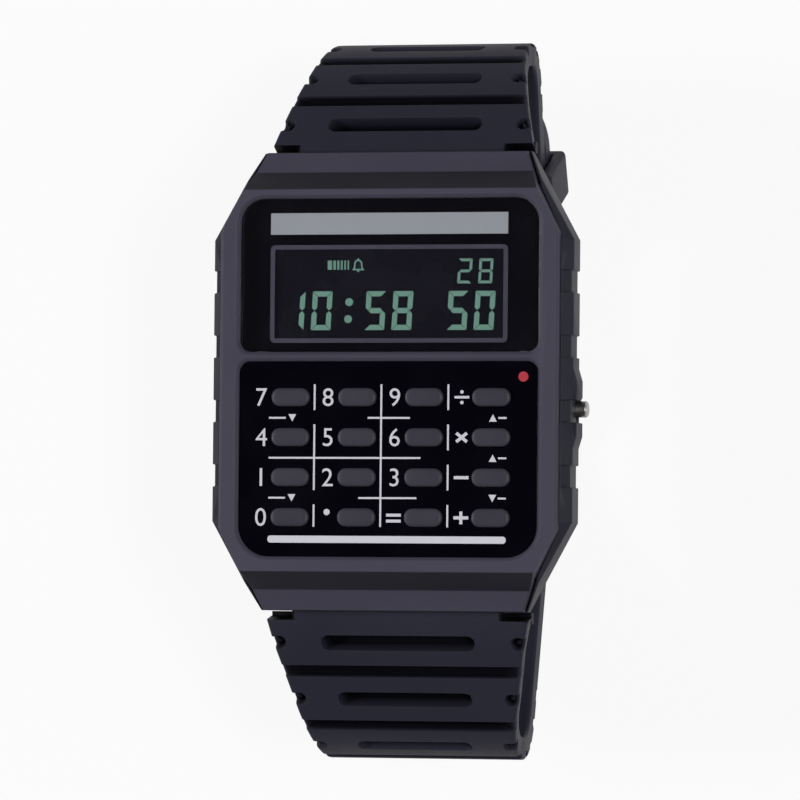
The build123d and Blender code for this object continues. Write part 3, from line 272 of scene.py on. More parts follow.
# Columns of the table: colour, its shade and its worn edge, roughness, gloss, strength of the grain;
# in mm, the grain, the drift of colour and the rounding of edges; and how much the edges are worn.
# Real grain of a moulding is some 0.03 to 0.06 mm across, too fine to show in a picture of the whole
# watch, so it is drawn two to four times as coarse.
mouldedColumns = ("colour", "shade", "edge", "rough", "gloss",
                  "grain", "grainMm", "driftMm", "edgeMm", "wear")
mouldedLooks = {
    # ABS resin, moulded on a spark-eroded steel face: matte and grey-violet, with a soft sheen and
    # paler, smoother edges. Its sloped ends, which turn from the light, get painted shade: a darker colour.
    "bezelAbsMoulded": ("#413f4c", "#464451", "#63616f", 0.44, 0.1, 0.25, 0.16, 9.0, 0.12, 0.55),
    # The same ABS without the bezel's grey tint: nearly black and duller, worn pale on its edges
    "caseAbsMoulded": ("#25252f", "#2a2a34", "#484754", 0.48, 0.12, 0.3, 0.16, 8.0, 0.14, 0.5),
    # Polyurethane, moulded soft: a dull black with a faint waxy sheen. Its recesses, where little
    # light gets in, are painted near black as shade.
    "strapPolyurethaneMoulded": ("#262631", "#2c2c38", "#3f3e4b", 0.52, 0.08, 0.3, 0.2, 12.0, 0.1, 0.35),
    # Silicone keys, moulded satin: charcoal, a little smoother than the bezel
    "keySiliconeMoulded": ("#33323b", "#383740", "#55545e", 0.42, 0.2, 0.2, 0.12, 5.0, 0.06, 0.4),
    # Polycarbonate sheet, printed black on its back: deep, smooth and glossy
    "platePolycarbonatePrinted": ("#030208", "#05040c", "#16151c", 0.14, 0.25, 0.03, 0.12, 6.0, 0.05, 0.2),
    # Acetal, moulded: off-white, opaque and slightly waxy
    "moduleAcetalMoulded": ("#c9c8c2", "#bdbcb5", "#deddd8", 0.5, 0.5, 0.2, 0.15, 7.0, 0.06, 0.3),
    # Nitrile rubber, moulded: dead black with a dry grain
    "sealNitrileMoulded": ("#161618", "#1d1d20", "#2a2a2e", 0.7, 0.5, 0.3, 0.1, 4.0, 0.04, 0.2),
    # Fibreglass laminate under green lacquer: smooth, with gilt edges where the copper shows
    "boardFibreglassLacquered": ("#0f3d24", "#134a2c", "#c9a24a", 0.35, 0.5, 0.1, 0.3, 5.0, 0.04, 0.3),
    # Polyester film, stamped into domes: amber and slightly cloudy
    "domePolyesterStamped": ("#c8b98c", "#b7a777", "#e0d6b4", 0.4, 0.5, 0.1, 0.2, 4.0, 0.05, 0.3),
    # Screen ink, printed pale grey on the key plate: flat, with a hardly seen grain
    "keyInkPrintedPale": ("#c9c9d1", "#c2c2ca", "#d0d0d8", 0.5, 0.25, 0.08, 0.1, 3.0, 0.01, 0.1),
    # Screen ink, printed red: flat and dense
    "dotInkPrintedRed": ("#b2323e", "#a82e3a", "#be4650", 0.5, 0.25, 0.08, 0.1, 3.0, 0.01, 0.1),
    # Liquid crystal that lets the green back layer through: pale green figures without gloss
    "figuresLiquidCrystal": ("#6a9382", "#638a7b", "#7aa592", 0.6, 0.2, 0.02, 0.1, 3.0, 0.005, 0.1),
    # Glass with a polariser laminated on: near black, with a faint violet sheen
    "displayGlassLaminated": ("#0f0e17", "#111019", "#18171f", 0.25, 0.1, 0.02, 0.1, 6.0, 0.03, 0.1),
    # Screen ink, printed grey round the display: half matte
    "frameInkPrinted": ("#3d3c48", "#41404c", "#4a4955", 0.4, 0.15, 0.05, 0.1, 5.0, 0.04, 0.3),
    # Metallic ink, printed on the plate: a flat light grey with a slight gleam
    "stripInkPrinted": ("#979ba0", "#919499", "#a9adb2", 0.42, 0.2, 0.05, 0.1, 6.0, 0.03, 0.2),
}
# Painted shade: on the bezel's faces that lean, by the sine of their lean, beyond the start in mm, and
# in the strap's recesses
paintedShades = {
    "bezelAbsMoulded": {"slope": "#17151e", "slopeShadeStart": 18.0, "slopeShadeLeans": (0.37, 0.78)},
    "strapPolyurethaneMoulded": {"recessShade": "#06060d"},
}
# Real scratches are about 0.02 mm wide, too fine to show, so they are drawn several times as coarse
metalColumns = ("colour", "shade", "rough", "scratchMm", "stretch", "edgeMm")
metalLooks = {
    # Stainless steel, turned on a lathe: bright, with fine rings round the axis
    "buttonSteelTurned": ("#b9b7b4", "#8f8d8b", 0.36, 0.12, (0.08, 1.0, 1.0), 0.05),
    # Stainless steel, brushed along its length: grey with long fine lines
    "plateSteelBrushed": ("#aeadab", "#8c8b8a", 0.32, 0.12, (1.0, 0.05, 1.0), 0.08),
    # Brass, rolled into sheet: yellow, with faint lines from the rolls
    "discBrassRolled": ("#c4a35a", "#a88843", 0.35, 0.2, (1.0, 0.2, 1.0), 0.04),
}
materials = {}
for name, row in mouldedLooks.items():
    look = dict(zip(mouldedColumns, row)) | paintedShades.get(name, {})
    materials[name] = mouldedMaterial(name, look)
for name, row in metalLooks.items():
    materials[name] = metalMaterial(name, dict(zip(metalColumns, row)))
# Acrylic sheet, cut and polished: all but unseen save for a soft reflection
materials["windowAcrylicPolished"] = clearMaterial("windowAcrylicPolished", {
    "colour": "#fbfbfd", "shade": "#f4f4f8", "rough": 0.02, "ior": 1.49, "gloss": 0.12, "driftMm": 12.0})
bezelResin = materials["bezelAbsMoulded"]
strapResin = materials["strapPolyurethaneMoulded"]
brushedSteel = materials["plateSteelBrushed"]
print("materials made")


# Sizes of the strap halves in mm: widths along the route, the mesh's rows and columns, the pattern of
# slots, grooves and dimples on the links, and the tube and the corners at the case
strapLook = {
    "thickness": 2.2, "edgeRadius": 0.34, "rootHalf": 13.1, "evenHalf": 9.75, "slopeHalf": 8.6,
    "backHalf": 7.8, "flatRise": 3.0, "flatBlend": 0.6, "tabHalf": 10.3, "caseEnd": 21.6, "tabEnd": 22.75,
    "tipLength": 5.0, "tipShare": 0.55, "columns": 118, "rowStep": 0.28, "links": 5, "slots": 4,
    "slotLength": 15.0, "slotShorter": 1.9, "slotHalf": 0.72, "slotDepth": 1.75, "slotWall": 0.13,
    "grooveHalf": 0.6, "grooveDepth": 0.75, "grooveFade": 0.7, "grooveWall": 0.14, "fadeWidth": 1.6,
    "dimpleRadius": 0.62, "dimpleInset": 0.62, "dimpleDepth": 0.8, "dimpleWall": 0.15,
    "pinRadius": 0.3, "pinDepth": 0.2,
    "barDepth": 5.7, "barAcross": 20.25, "barTube": (10.2, 1.5, 0.15),
    "cornerPlace": (11.45, 22.42), "cornerHalf": (1.3, 0.52), "cornerDepths": (7.4, 6.4),
}
holeLook = {"fromBend": 2.3, "pitch": 5.2, "beforeTongue": 2, "afterTongue": 4, "halfStraight": (0.35, 0.95),
            "radius": 0.64}
buckleLook = {"bar": 3.0, "tubeEnds": (1.15, 7.8), "tube": (1.3, 0.1), "tongueCut": 1.9}
# Each half's route is a list of steps from the case: a straight run, or an arc towards the wrist.
# Lengths are in mm, turns in degrees, and a start is (outward from the middle, depth).
layerStep = 0.3 + strapLook["thickness"]  # the tail lies 0.3 mm below the buckle half
upperStart, lowerStart = (19.6, 4.3), (20.25, 4.2)
flatBend = ("arc", 24.0, 24.0)
upperFront = [("arc", 6.0, 24.0), ("arc", 24.0, 26.0), ("arc", 12.0, 40.0)]
upperSteps = upperFront + [("arc", 7.3, 66.0), ("line", 12.0, 0.0), flatBend]
lowerFront = [("arc", 12.0, 31.0), ("line", 5.6, 0.0), ("arc", 9.9, 59.0)]
lowerBack = lowerFront + [("arc", 7.5, 63.0)]
lowerEase = ("arc", 30.0, 27.0)


# Steps with their start place, start heading and start length filled in, and the place they end at
def laidOut(start, steps):
    route, place, heading, length = [], np.array(start, dtype=float), 0.0, 0.0
    for kind, size, turn in steps:
        angle = math.radians(heading)
        route.append((kind, size, turn, place, heading, length))
        if kind == "line":
            place = place + size * np.array([math.cos(angle), math.sin(angle)])
            length += size
        else:
            centre = place + size * np.array([-math.sin(angle), math.cos(angle)])
            heading += turn
            angle = math.radians(heading)
            place = centre + size * np.array([math.sin(angle), -math.cos(angle)])
            length += size * math.radians(turn)
    return route, place, length


# Outward distance, depth and heading in radians for an array of lengths: on a run they grow evenly,
# on an arc they turn about its centre
def routeAt(route, lengths):
    across = np.zeros_like(lengths)
    deep = np.zeros_like(lengths)
    heading = np.zeros_like(lengths)
    for kind, size, turn, place, startHeading, startLength in route:
        here = lengths >= startLength - 1e-9
        along = lengths[here] - startLength
        angle = math.radians(startHeading)
        if kind == "line":
            across[here] = place[0] + along * math.cos(angle)
            deep[here] = place[1] + along * math.sin(angle)
            heading[here] = angle
        else:
            turned = angle + along / size
            across[here] = place[0] - size * math.sin(angle) + size * np.sin(turned)
            deep[here] = place[1] + size * math.cos(angle) - size * np.cos(turned)
            heading[here] = turned
    return across, deep, heading


_, upperFlat, _ = laidOut(upperStart, upperSteps)
upperRoute, _, upperLength = laidOut(
    upperStart, upperSteps + [("line", upperFlat[0] - buckleLook["bar"], 0.0)])
# The lower half slants down until its easing arc brings it level below the buckle half
tailDepth = upperFlat[1] + layerStep
_, lowerTurned, _ = laidOut(lowerStart, lowerBack)
slope = math.radians(lowerEase[2])
slant = (tailDepth - lowerTurned[1] - lowerEase[1] * (1 - math.cos(slope))) / math.sin(slope)
lowerBent = lowerBack + [("line", slant, 0.0), lowerEase]
_, lowerFlat, lowerFlatLength = laidOut(lowerStart, lowerBent)
lowerRoute, _, lowerLength = laidOut(lowerStart, lowerBent + [
    ("line", lowerFlat[0] + upperFlat[0], 0.0),
    ("arc", flatBend[1] + layerStep, flatBend[2]), ("line", 10.6, 0.0)])


# Half the strap's width: a tab between the lugs, a straight taper to the bend, a slow one down the
# back and a quick one over the last rise above the flat
def halfWidthAt(across, deep, apexAcross, apexDepth, flatDepth):
    look = strapLook
    share = np.clip((across - look["caseEnd"]) / (apexAcross - look["caseEnd"]), 0, 1)
    half = look["rootHalf"] + (look["evenHalf"] - look["rootHalf"]) * share
    back = np.interp(deep, (apexDepth, flatDepth - look["flatRise"], flatDepth - look["flatBlend"]),
                     (look["evenHalf"], look["slopeHalf"], look["backHalf"]))
    half = np.where(deep > apexDepth, back, half)
    return np.where((across < look["tabEnd"]) & (deep < apexDepth), look["tabHalf"], half)


# Distance to a slot with round ends, below zero inside it, and the direction away from its middle line
def slotDistance(x, s, centreX, centreS, halfX, halfS, radius):
    dx = x - centreX
    dx = dx - np.clip(dx, -halfX, halfX)
    ds = s - centreS
    ds = ds - np.clip(ds, -halfS, halfS)
    length = np.maximum(np.hypot(dx, ds), 1e-9)
    return length - radius, dx / length, ds / length


# Eases from 0 to 1: three times the square less twice the cube
def smoothStep(value):
    value = np.clip(value, 0, 1)
    return value * value * (3 - 2 * value)


# Points near a slot's outline slide to half a wall's width from it, on their own side. Gives the
# points and their distances from the outline.
def slideOnto(x, s, slot, reach, wall):
    away, dirX, dirS = slotDistance(x, s, *slot)
    near = (np.abs(away) < reach) & (np.abs(x) < np.abs(x[:, -1:]) - 0.05)
    target = np.where(away > 0, wall / 2, -wall / 2)
    x = np.where(near, x + dirX * (target - away), x)
    s = np.where(near, s + dirS * (target - away), s)
    return x, s, np.where(near, target, away)


# Lengths of a skin's rows: even steps, and close ones at the edges of the tab, slots and grooves
def strapRows(total, marks):
    look = strapLook
    tabLength = marks["tabLength"]
    edges = [np.arange(0, total, look["rowStep"]), [total, tabLength - 0.01, tabLength + 0.01]]
    for number in range(look["links"]):
        middle = marks["lead"] + marks["pitch"] * number
        groove = middle + marks["pitch"] / 2
        for half, centre in ((look["slotHalf"], middle), (look["grooveHalf"], groove)):
            edges.append([centre + sign * (half + shift)
                          for sign in (-1, 1) for shift in (-0.07, 0.0, 0.07)])
    rows = np.unique(np.round(np.concatenate(edges), 4))
    return rows[(rows >= 0) & (rows <= total)]


# Sinks the slots, dimples and grooves into the outer face, with a pin's head in each dimple. Gives
# the grid's points and how deep each is sunk.
def strapMarks(x, s, half, rows, marks):
    look = strapLook
    sink = np.zeros_like(x)
    shapes, pins = [], []
    for number in range(look["links"]):
        middle = marks["lead"] + marks["pitch"] * number
        if number < look["slots"]:
            length = look["slotLength"] - look["slotShorter"] * number
            slot = (0.0, middle, length / 2 - look["slotHalf"], 0.0, look["slotHalf"])
            shapes.append((slot, look["slotDepth"], look["slotWall"]))
        edge = np.interp(middle, rows, half) - look["dimpleInset"]
        for sign in (-1, 1):
            dimple = (sign * edge, middle, 0.0, 0.0, look["dimpleRadius"])
            shapes.append((dimple, look["dimpleDepth"], look["dimpleWall"]))
            pins.append((sign * edge, middle))
    for slot, depth, wall in shapes:
        x, s, away = slideOnto(x, s, slot, 0.16, wall)
        sink = np.maximum(sink, depth * smoothStep(0.5 - away / wall))
    # a groove gets shallow towards the strap's edges
    inward = smoothStep((half[:, None] - np.abs(x)) / look["fadeWidth"])
    grooveDepth = look["grooveDepth"] * (1 - look["grooveFade"] * (1 - inward))
    for number in range(look["links"]):
        groove = marks["lead"] + marks["pitch"] * (number + 0.5)
        away = np.abs(s - groove) - look["grooveHalf"]
        sink = np.maximum(sink, grooveDepth * smoothStep(0.5 - away / look["grooveWall"]))
    for centreX, centreS in pins:
        away = np.hypot(x - centreX, s - centreS) / look["pinRadius"]
        head = look["pinDepth"] + (look["dimpleDepth"] - look["pinDepth"]) * np.clip(away, 0, 1) ** 3
        sink = np.where(away < 1, np.minimum(sink, head), sink)
    return x, s, sink


# The grid's cells that are open: those in the tail's holes, and those cut away for the tongue, given as
# (half width, start). The points slide onto the holes' outlines.
def openCells(x, s, holes, cut):
    gone = np.zeros((x.shape[0] - 1, x.shape[1] - 1), dtype=bool)
    for centreS in holes:
        hole = (0.0, centreS, *holeLook["halfStraight"], holeLook["radius"])
        x, s, away = slideOnto(x, s, hole, 0.2, 0.0)
        middle = (away[:-1, :-1] + away[1:, :-1] + away[:-1, 1:] + away[1:, 1:]) / 4
        gone |= middle < -1e-6
    if cut:
        middleX = (x[:-1, :-1] + x[1:, 1:]) / 2
        middleS = (s[:-1, :-1] + s[1:, 1:]) / 2
        gone |= (np.abs(middleX) < cut[0]) & (middleS > cut[1])
    return x, s, gone


# Walls between the outer and the inner face, round the open cells
def holeWalls(gone, outer, inner):
    padded = np.pad(gone, 1)
    faces = []
    for before, after, outerA, outerB, innerA, innerB in (
        (padded[1:-1, :-1], padded[1:-1, 1:], outer[:-1], outer[1:], inner[:-1], inner[1:]),
        (padded[:-1, 1:-1], padded[1:, 1:-1], outer[:, :-1], outer[:, 1:], inner[:, :-1], inner[:, 1:]),
    ):
        for edge, flip in ((after & ~before, False), (before & ~after, True)):
            wall = np.stack([outerA[edge], outerB[edge], innerB[edge], innerA[edge]], axis=-1)
            faces += (wall[:, ::-1] if flip else wall).tolist()
    return faces


# A strap half as one closed skin, with the share of painted recess shade at each point. Its rows run
# along the route and its columns round the section: outer face, side, inner face, side. A point stands
# at its row's place on the route, moved square to the heading by its height over the outer face.
def strapSkin(route, total, side, apex, marks, holes, cut, tipLength):
    look = strapLook
    rows = strapRows(total, marks)
    count, columns = len(rows), look["columns"]
    across, deep, _ = routeAt(route, rows)
    half = halfWidthAt(across, deep, *apex)
    if tipLength:
        # the tip narrows as a flattened circle
        past = np.clip((rows - (total - tipLength)) / tipLength, 0, 0.985)
        half = half - look["tipShare"] * tipLength * (1 - np.sqrt(1 - past ** 2))
    x = (half - look["edgeRadius"])[:, None] * np.linspace(-1, 1, columns + 1)[None, :]
    s = np.repeat(rows[:, None], columns + 1, axis=1)
    x, s, sink = strapMarks(x, s, half, rows, marks)
    x, s, gone = openCells(x, s, holes, cut)
    # a side: a quarter circle from the outer face, a straight part and a quarter circle to the inner one
    thickness, radius = look["thickness"], look["edgeRadius"]
    turn = np.linspace(0, math.pi / 2, 5)[1:]
    sideX = np.concatenate([radius * np.sin(turn), radius * np.cos(turn[:-1])])
    sideN = np.concatenate([-radius * (1 - np.cos(turn)),
                            -(thickness - radius) - radius * np.sin(turn[:-1])])
    # its upper half sinks with the grooves that run out there
    edgeSink = np.minimum(sink[:, -1:], look["grooveDepth"])
    lift = np.clip(1 + sideN / (thickness * 0.5), 0, 1)[None, :]
    rightX = x[:, -1:] + sideX[None, :]
    rightN = sideN[None, :] - edgeSink * lift
    loopX = np.concatenate([x, rightX, x[:, ::-1], -rightX[:, ::-1]], axis=1)
    loopS = np.concatenate([s, np.repeat(s[:, -1:], len(sideX), 1), s[:, ::-1],
                            np.repeat(s[:, :1], len(sideX), 1)], axis=1)
    normal = np.concatenate([-sink, rightN, np.full_like(x, -thickness), rightN[:, ::-1]], axis=1).ravel()
    across, deep, heading = routeAt(route, np.clip(loopS, 0, total).ravel())
    y = side * (across + normal * np.sin(heading))
    z = heightOf(deep - normal * np.cos(heading))
    points = np.column_stack([loopX.ravel(), y, z])
    # outer and inner point of each place in the grid, and the faces between the rows
    around = loopX.shape[1]
    innerStart = columns + 1 + len(sideX)
    row, column = np.meshgrid(np.arange(count), np.arange(columns + 1), indexing="ij")
    outer = row * around + column
    inner = row * around + innerStart + (columns - column)
    quads = np.array(gridFaces(count, around, closed=True)).reshape(count - 1, around, 4)
    keep = np.ones((count - 1, around), dtype=bool)
    keep[:, :columns] = ~gone
    keep[:, innerStart:innerStart + columns] = ~gone[:, ::-1]
    faces = quads[keep].tolist() + holeWalls(gone, outer, inner)
    # both ends: a strip between the faces and a fan at each side
    sidePoints = np.arange(len(sideX) + 2)
    for end in (0, count - 1):
        strip = np.stack([outer[end, :-1], outer[end, 1:], inner[end, 1:], inner[end, :-1]], axis=-1)
        faces += strip[~gone[min(end, count - 2)]].tolist()
        faces += [(end * around + (first + sidePoints) % around).tolist()
                  for first in (columns, innerStart + columns)]
    # painted shade: full from 0.4 mm down, and on the sides and the inner face of the tab
    tab = (rows[:, None] <= marks["tabLength"] + 0.02) * np.ones_like(loopX[:, columns + 1:])
    recessShade = np.concatenate([np.clip(sink / 0.4, 0, 1), tab], axis=1).ravel()
    return (points, faces), recessShade


# Turns every face of a closed mesh outwards, after its doubles are merged
def tidyNormals(piece):
    work = bmesh.new()
    work.from_mesh(piece.data)
    bmesh.ops.remove_doubles(work, verts=work.verts, dist=1e-7)
    bmesh.ops.recalc_face_normals(work, faces=work.faces)
    work.to_mesh(piece.data)
    work.free()
    piece.data.shade_smooth()
    piece.data.set_sharp_from_angle(angle=math.radians(32))


# First length at which a route is so far from the middle
def lengthWhere(route, total, across):
    lengths = np.linspace(0, total / 3, 2000)
    return float(lengths[np.argmax(routeAt(route, lengths)[0] >= across)])


# First slot and pitch of the two halves, as the photograph shows them
upperMarks = {"lead": 5.56, "pitch": 6.0,
              "tabLength": lengthWhere(upperRoute, upperLength, strapLook["tabEnd"])}
lowerMarks = {"lead": 4.8, "pitch": 6.2,
              "tabLength": lengthWhere(lowerRoute, lowerLength, strapLook["tabEnd"])}
_, upperTurn, _ = laidOut(upperStart, upperFront)
_, lowerTurn, _ = laidOut(lowerStart, lowerFront)
tongueHole = lowerFlatLength + lowerFlat[0] - holeLook["fromBend"]
tailHoles = [tongueHole + holeLook["pitch"] * number
             for number in range(-holeLook["beforeTongue"], holeLook["afterTongue"] + 1)]
tubeInner, tubeOuter = buckleLook["tubeEnds"]
upperSkin, upperRecessShade = strapSkin(
    upperRoute, upperLength, 1, (*upperTurn, upperFlat[1]), upperMarks,
    [], (tubeInner, upperLength - buckleLook["tongueCut"]), 0)
lowerSkin, lowerRecessShade = strapSkin(
    lowerRoute, lowerLength, -1, (*lowerTurn, tailDepth), lowerMarks,
    tailHoles, None, strapLook["tipLength"])
buckleBarLevel = heightOf(upperFlat[1] - strapLook["thickness"] / 2)
buckleTubes = [barTube(low, high, *buckleLook["tube"], buckleLook["bar"], buckleBarLevel)
               for low, high in ((-tubeOuter, -tubeInner), (tubeInner, tubeOuter))]
tubeEnd, *tubeSize = strapLook["barTube"]
cornerX, cornerY = strapLook["cornerPlace"]
cornerLevels = [heightOf(depth) for depth in strapLook["cornerDepths"]]
barLevel = heightOf(strapLook["barDepth"])
for name, node, side, skin, recessShade, more in (
    ("strapTop", "strap_12", 1, upperSkin, upperRecessShade, buckleTubes),
    ("strapBottom", "strap_6", -1, lowerSkin, lowerRecessShade, []),
):
    tube = barTube(-tubeEnd, tubeEnd, *tubeSize, side * strapLook["barAcross"], barLevel)
    # lower corners of the wide part, under the lugs' ends: the floor of the notches beside the tab, painted
    # black as shade
    corners = [blockMesh((hand * cornerX, side * cornerY), *strapLook["cornerHalf"], *cornerLevels)
               for hand in (1, -1)]
    piece = addMesh(name, *joined([skin, tube, *corners, *more]), strapResin, "case")
    mark = np.zeros(len(piece.data.vertices), dtype=np.float32)
    mark[:len(recessShade)] = recessShade
    firstCorner = len(recessShade) + len(tube[0])
    # the corner blocks take the full share of painted shade
    mark[firstCorner:firstCorner + sum(len(corner[0]) for corner in corners)] = 1.0
    piece.data.attributes.new("recessShade", "FLOAT", "POINT").data.foreach_set("value", mark)
    tidyNormals(piece)
    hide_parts(node)
    print(name, "made:", len(piece.data.polygons), "faces")


# A mesh's points as rows of x, y and z
def meshPoints(mesh):
    points = np.zeros(len(mesh.vertices) * 3)
    mesh.vertices.foreach_get("co", points)
    return points.reshape(-1, 3)


# A copy of a CAD solid whose sharp edges are rounded by the radius in mm. Its outer walls may stand
# proud: between the first two distances from the middle, the move grows to the third, all in mm.
def roundedCopy(name, node, body, slot, material, radius, sharp, proud):
    work = bmesh.new()
    work.from_mesh(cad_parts[node].data)
    bmesh.ops.remove_doubles(work, verts=work.verts, dist=1e-6)
    bmesh.ops.dissolve_limit(work, angle_limit=math.radians(0.8), verts=work.verts, edges=work.edges)
    bmesh.ops.triangulate(work, faces=[face for face in work.faces if len(face.verts) > 4])
    mesh = bpy.data.meshes.new(name)
    work.to_mesh(mesh)
    work.free()
    points = meshPoints(mesh)
    for axis, (start, full, out) in enumerate(proud):
        away = np.abs(points[:, axis]) / mm
        move = out * np.clip((away - start) / (full - start), 0, 1) * mm
        points[:, axis] += np.sign(points[:, axis]) * move
    mesh.vertices.foreach_set("co", points.ravel())
    mesh.materials.clear()
    mesh.materials.append(material)
    piece = newObject(name, mesh)
    rounding = piece.modifiers.new("rounding", "BEVEL")
    rounding.width = radius * mm
    rounding.segments = 2
    rounding.limit_method = "ANGLE"
    rounding.angle_limit = math.radians(sharp)
    rounding.use_clamp_overlap = False
    mesh.shade_smooth()
    mesh.set_sharp_from_angle(angle=math.radians(22))
    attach(piece, body)
    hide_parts(node)
    return piece


# Each row: the piece's name, its node, body, slot and material, the rounding in mm, the angle in
# degrees from which an edge is rounded, and how far its walls stand proud across and along
roundedLook = [
    ("bezelMoulded", "bezel", "case", "bezel_resin", bezelResin, 0.07, 22,
     ((15.6, 15.61, 0.2), (18.2, 21.6, 0.25))),
    ("caseMoulded", "case_body", "case", "case_resin", materials["caseAbsMoulded"], 0.08, 30,
     ((16.55, 16.56, 0.2), (18.2, 21.6, 0.25))),
    ("keeperMoulded", "keeper", "keeper", "strap_resin", strapResin, 0.2, 30, ()),
    ("buckleBent", "buckle_frame", "case", "buckle_steel", brushedSteel, 0.16, 30, ()),
    ("tongueStamped", "tongue", "tongue", "buckle_steel", brushedSteel, 0.12, 30, ()),
    ("caseBackStamped", "case_back", "case", "steel", brushedSteel, 0.12, 30, ()),
]
for row in roundedLook:
    shaped = roundedCopy(*row)
    print(shaped.name, "copied:", len(shaped.data.polygons), "faces")


# Sizes of the keys and their plate in mm, which the print shares; keys count from the top left
keyLook = {
    "pitchX": 6.53, "pitchY": 3.8, "centreX": 0.28, "topRowY": -1.61, "halfWide": 1.85,
    "halfHigh": 0.875, "corner": 0.8, "plateDepth": 0.45, "proud": 0.4, "flangeTop": 1.95,
    "flangeBottom": 2.35, "flangeWide": 2.2, "flangeHigh": 1.225, "stemBottom": 2.65, "stemHalf": 0.6,
    # rounded rim and slightly domed top, as rows of (inset from the outline, distance below the rim)
    "rim": [(0.0, 0.34), (0.0, 0.22), (0.02, 0.13), (0.07, 0.06), (0.15, 0.02), (0.26, 0.0),
            (0.42, -0.012), (0.62, -0.018)],
}
keyNames = ["7 8 9 divide", "4 5 6 multiply", "1 2 3 minus", "0 point equals plus"]


# Middle of a key: columns stand a pitch apart about the centre, and rows a pitch below the top one
def keyPlace(column, row):
    return np.array([keyLook["centreX"] + (column - 1.5) * keyLook["pitchX"],
                     keyLook["topRowY"] - row * keyLook["pitchY"]])


# A key: a pill through the plate, a flange under it and a stem over the dome
look = keyLook
plateLevel, flangeLevel, underFlange, stemLevel = (
    heightOf(look[depth]) for depth in ("plateDepth", "flangeTop", "flangeBottom", "stemBottom"))
rimLevel = plateLevel + look["proud"] + look["rim"][-1][1]
pillProfile = [(0.0, flangeLevel)] + [(inset, rimLevel - drop) for inset, drop in look["rim"]]
for row, names in enumerate(keyNames):
    for column, name in enumerate(names.split()):
        node = "key_" + name
        centre = keyPlace(column, row)
        pill = ringLoft((look["halfWide"], look["halfHigh"], look["corner"]), pillProfile, centre)
        flange = blockMesh(centre, look["flangeWide"], look["flangeHigh"], underFlange, flangeLevel)
        stem = blockMesh(centre, look["stemHalf"], look["stemHalf"], stemLevel, underFlange)
        key = addMesh(node + "Moulded", *joined([pill, flange, stem]), materials["keySiliconeMoulded"],
                      node, smoothAngle=50)
        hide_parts(node)
print("keys made")


# Flat shapes of print, each an outline in mm, raised from a level by the thickness of the ink, and
# each a hair higher than the one before, so that no two crossing shapes share a face
def printMesh(name, outlines, level, thickness, material, letters=()):
    parts = list(letters)
    rise = thickness * 0.004
    for number, outline in enumerate(outlines):
        ring = np.asarray(outline, dtype=float)
        turnSum = np.sum(ring[:, 0] * np.roll(ring[:, 1], -1) - ring[:, 1] * np.roll(ring[:, 0], -1))
        if turnSum < 0:
            ring = ring[::-1]
        count = len(ring)
        points = np.concatenate([np.column_stack([ring, np.full(count, height)])
                                 for height in (level, level + thickness + rise * number)])
        faces = gridFaces(2, count, closed=True)
        faces += [list(range(count))[::-1], list(range(count, 2 * count))]
        parts.append((points, faces))
    return addMesh(name, *joined(parts), material, "case", smoothAngle=20)


# Outlines about a centre: a rectangle, a circle of evenly spaced points and a triangle that points up
def barOutline(centreX, centreY, halfWide, halfHigh):
    corners = np.array([(-1, -1), (1, -1), (1, 1), (-1, 1)])
    return corners * (halfWide, halfHigh) + (centreX, centreY)


def discOutline(centreX, centreY, radius, around=40):
    turn = np.linspace(0, 2 * math.pi, around, endpoint=False)
    return np.column_stack([centreX + radius * np.cos(turn), centreY + radius * np.sin(turn)])


def triangleOutline(centreX, centreY, halfWide, halfHigh):
    return np.array([(-1, -1), (1, -1), (0, 1)]) * (halfWide, halfHigh) + (centreX, centreY)


# A straight stroke with square ends between two points
def strokeOutline(first, last, halfWide):
    first, last = np.asarray(first, dtype=float), np.asarray(last, dtype=float)
    along = (last - first) / np.linalg.norm(last - first)
    side = np.array([-along[1], along[0]]) * halfWide
    return [first + side, first - side, last - side, last + side]


# Print on the key plate, in mm. Upright lines stand right of each column's keys, from the first to the
# last row of a span; lines across run below each row, between two distances from the keypad's middle.
printLook = {
    "ink": 0.012, "line": 0.09, "lineRight": 2.33, "lineReach": 1.22, "lineTail": 0.9, "rowLine": -1.96,
    "upright": [[(0, 0), (1, 2), (3, 3)], [(0, 3)], [(0, 0), (1, 1), (2, 2), (3, 3)]],
    "acrossLines": [[(-11.93, -10.28), (-2.25, 1.87), (10.47, 11.27)],
                    [(-11.93, 2.93), (10.47, 11.27)],
                    [(-11.93, -10.28), (-3.1, 2.57), (10.47, 11.27)]],
    "arrows": [(0, 0, -1), (3, 0, 1), (3, 1, 1), (0, 2, -1), (3, 2, -1)], "arrowHalf": (0.38, 0.35),
    "arrowRight": 0.15, "bar": (11.63, 0.34, 0.3), "barPlace": (-0.35, -2.09),
    "labelLeft": 2.88, "labelHigh": 1.7, "sign": 0.72, "stroke": 0.15, "crossShare": 0.72,
    "divideDot": (0.5, 0.17), "point": (-0.04, 0.5, 0.3), "equals": (-0.03, -0.05, 0.28, 0.14),
    "redDot": (12.86, 1.95, 0.48),
}
look = printLook
pale = []
for column, spans in enumerate(look["upright"]):
    for firstRow, lastRow in spans:
        x, top = keyPlace(column, firstRow) + (look["lineRight"], look["lineReach"])
        bottom = keyPlace(column, lastRow)[1] - look["lineTail" if lastRow == 3 else "lineReach"]
        pale.append(barOutline(x, (top + bottom) / 2, look["line"], (top - bottom) / 2))
middleX = keyLook["centreX"]
for row, spans in enumerate(look["acrossLines"]):
    y = keyPlace(0, row)[1] + look["rowLine"]
    for low, high in spans:
        pale.append(barOutline(middleX + (low + high) / 2, y, (high - low) / 2, look["line"]))
arrowWide, arrowHigh = look["arrowHalf"]
for column, row, side in look["arrows"]:
    x, y = keyPlace(column, row) + (look["arrowRight"], look["rowLine"])
    pale.append(triangleOutline(x, y, arrowWide, arrowHigh * side))
pale.append(roundedRing(*look["bar"]) + (middleX, keyPlace(0, 3)[1]) + look["barPlace"])
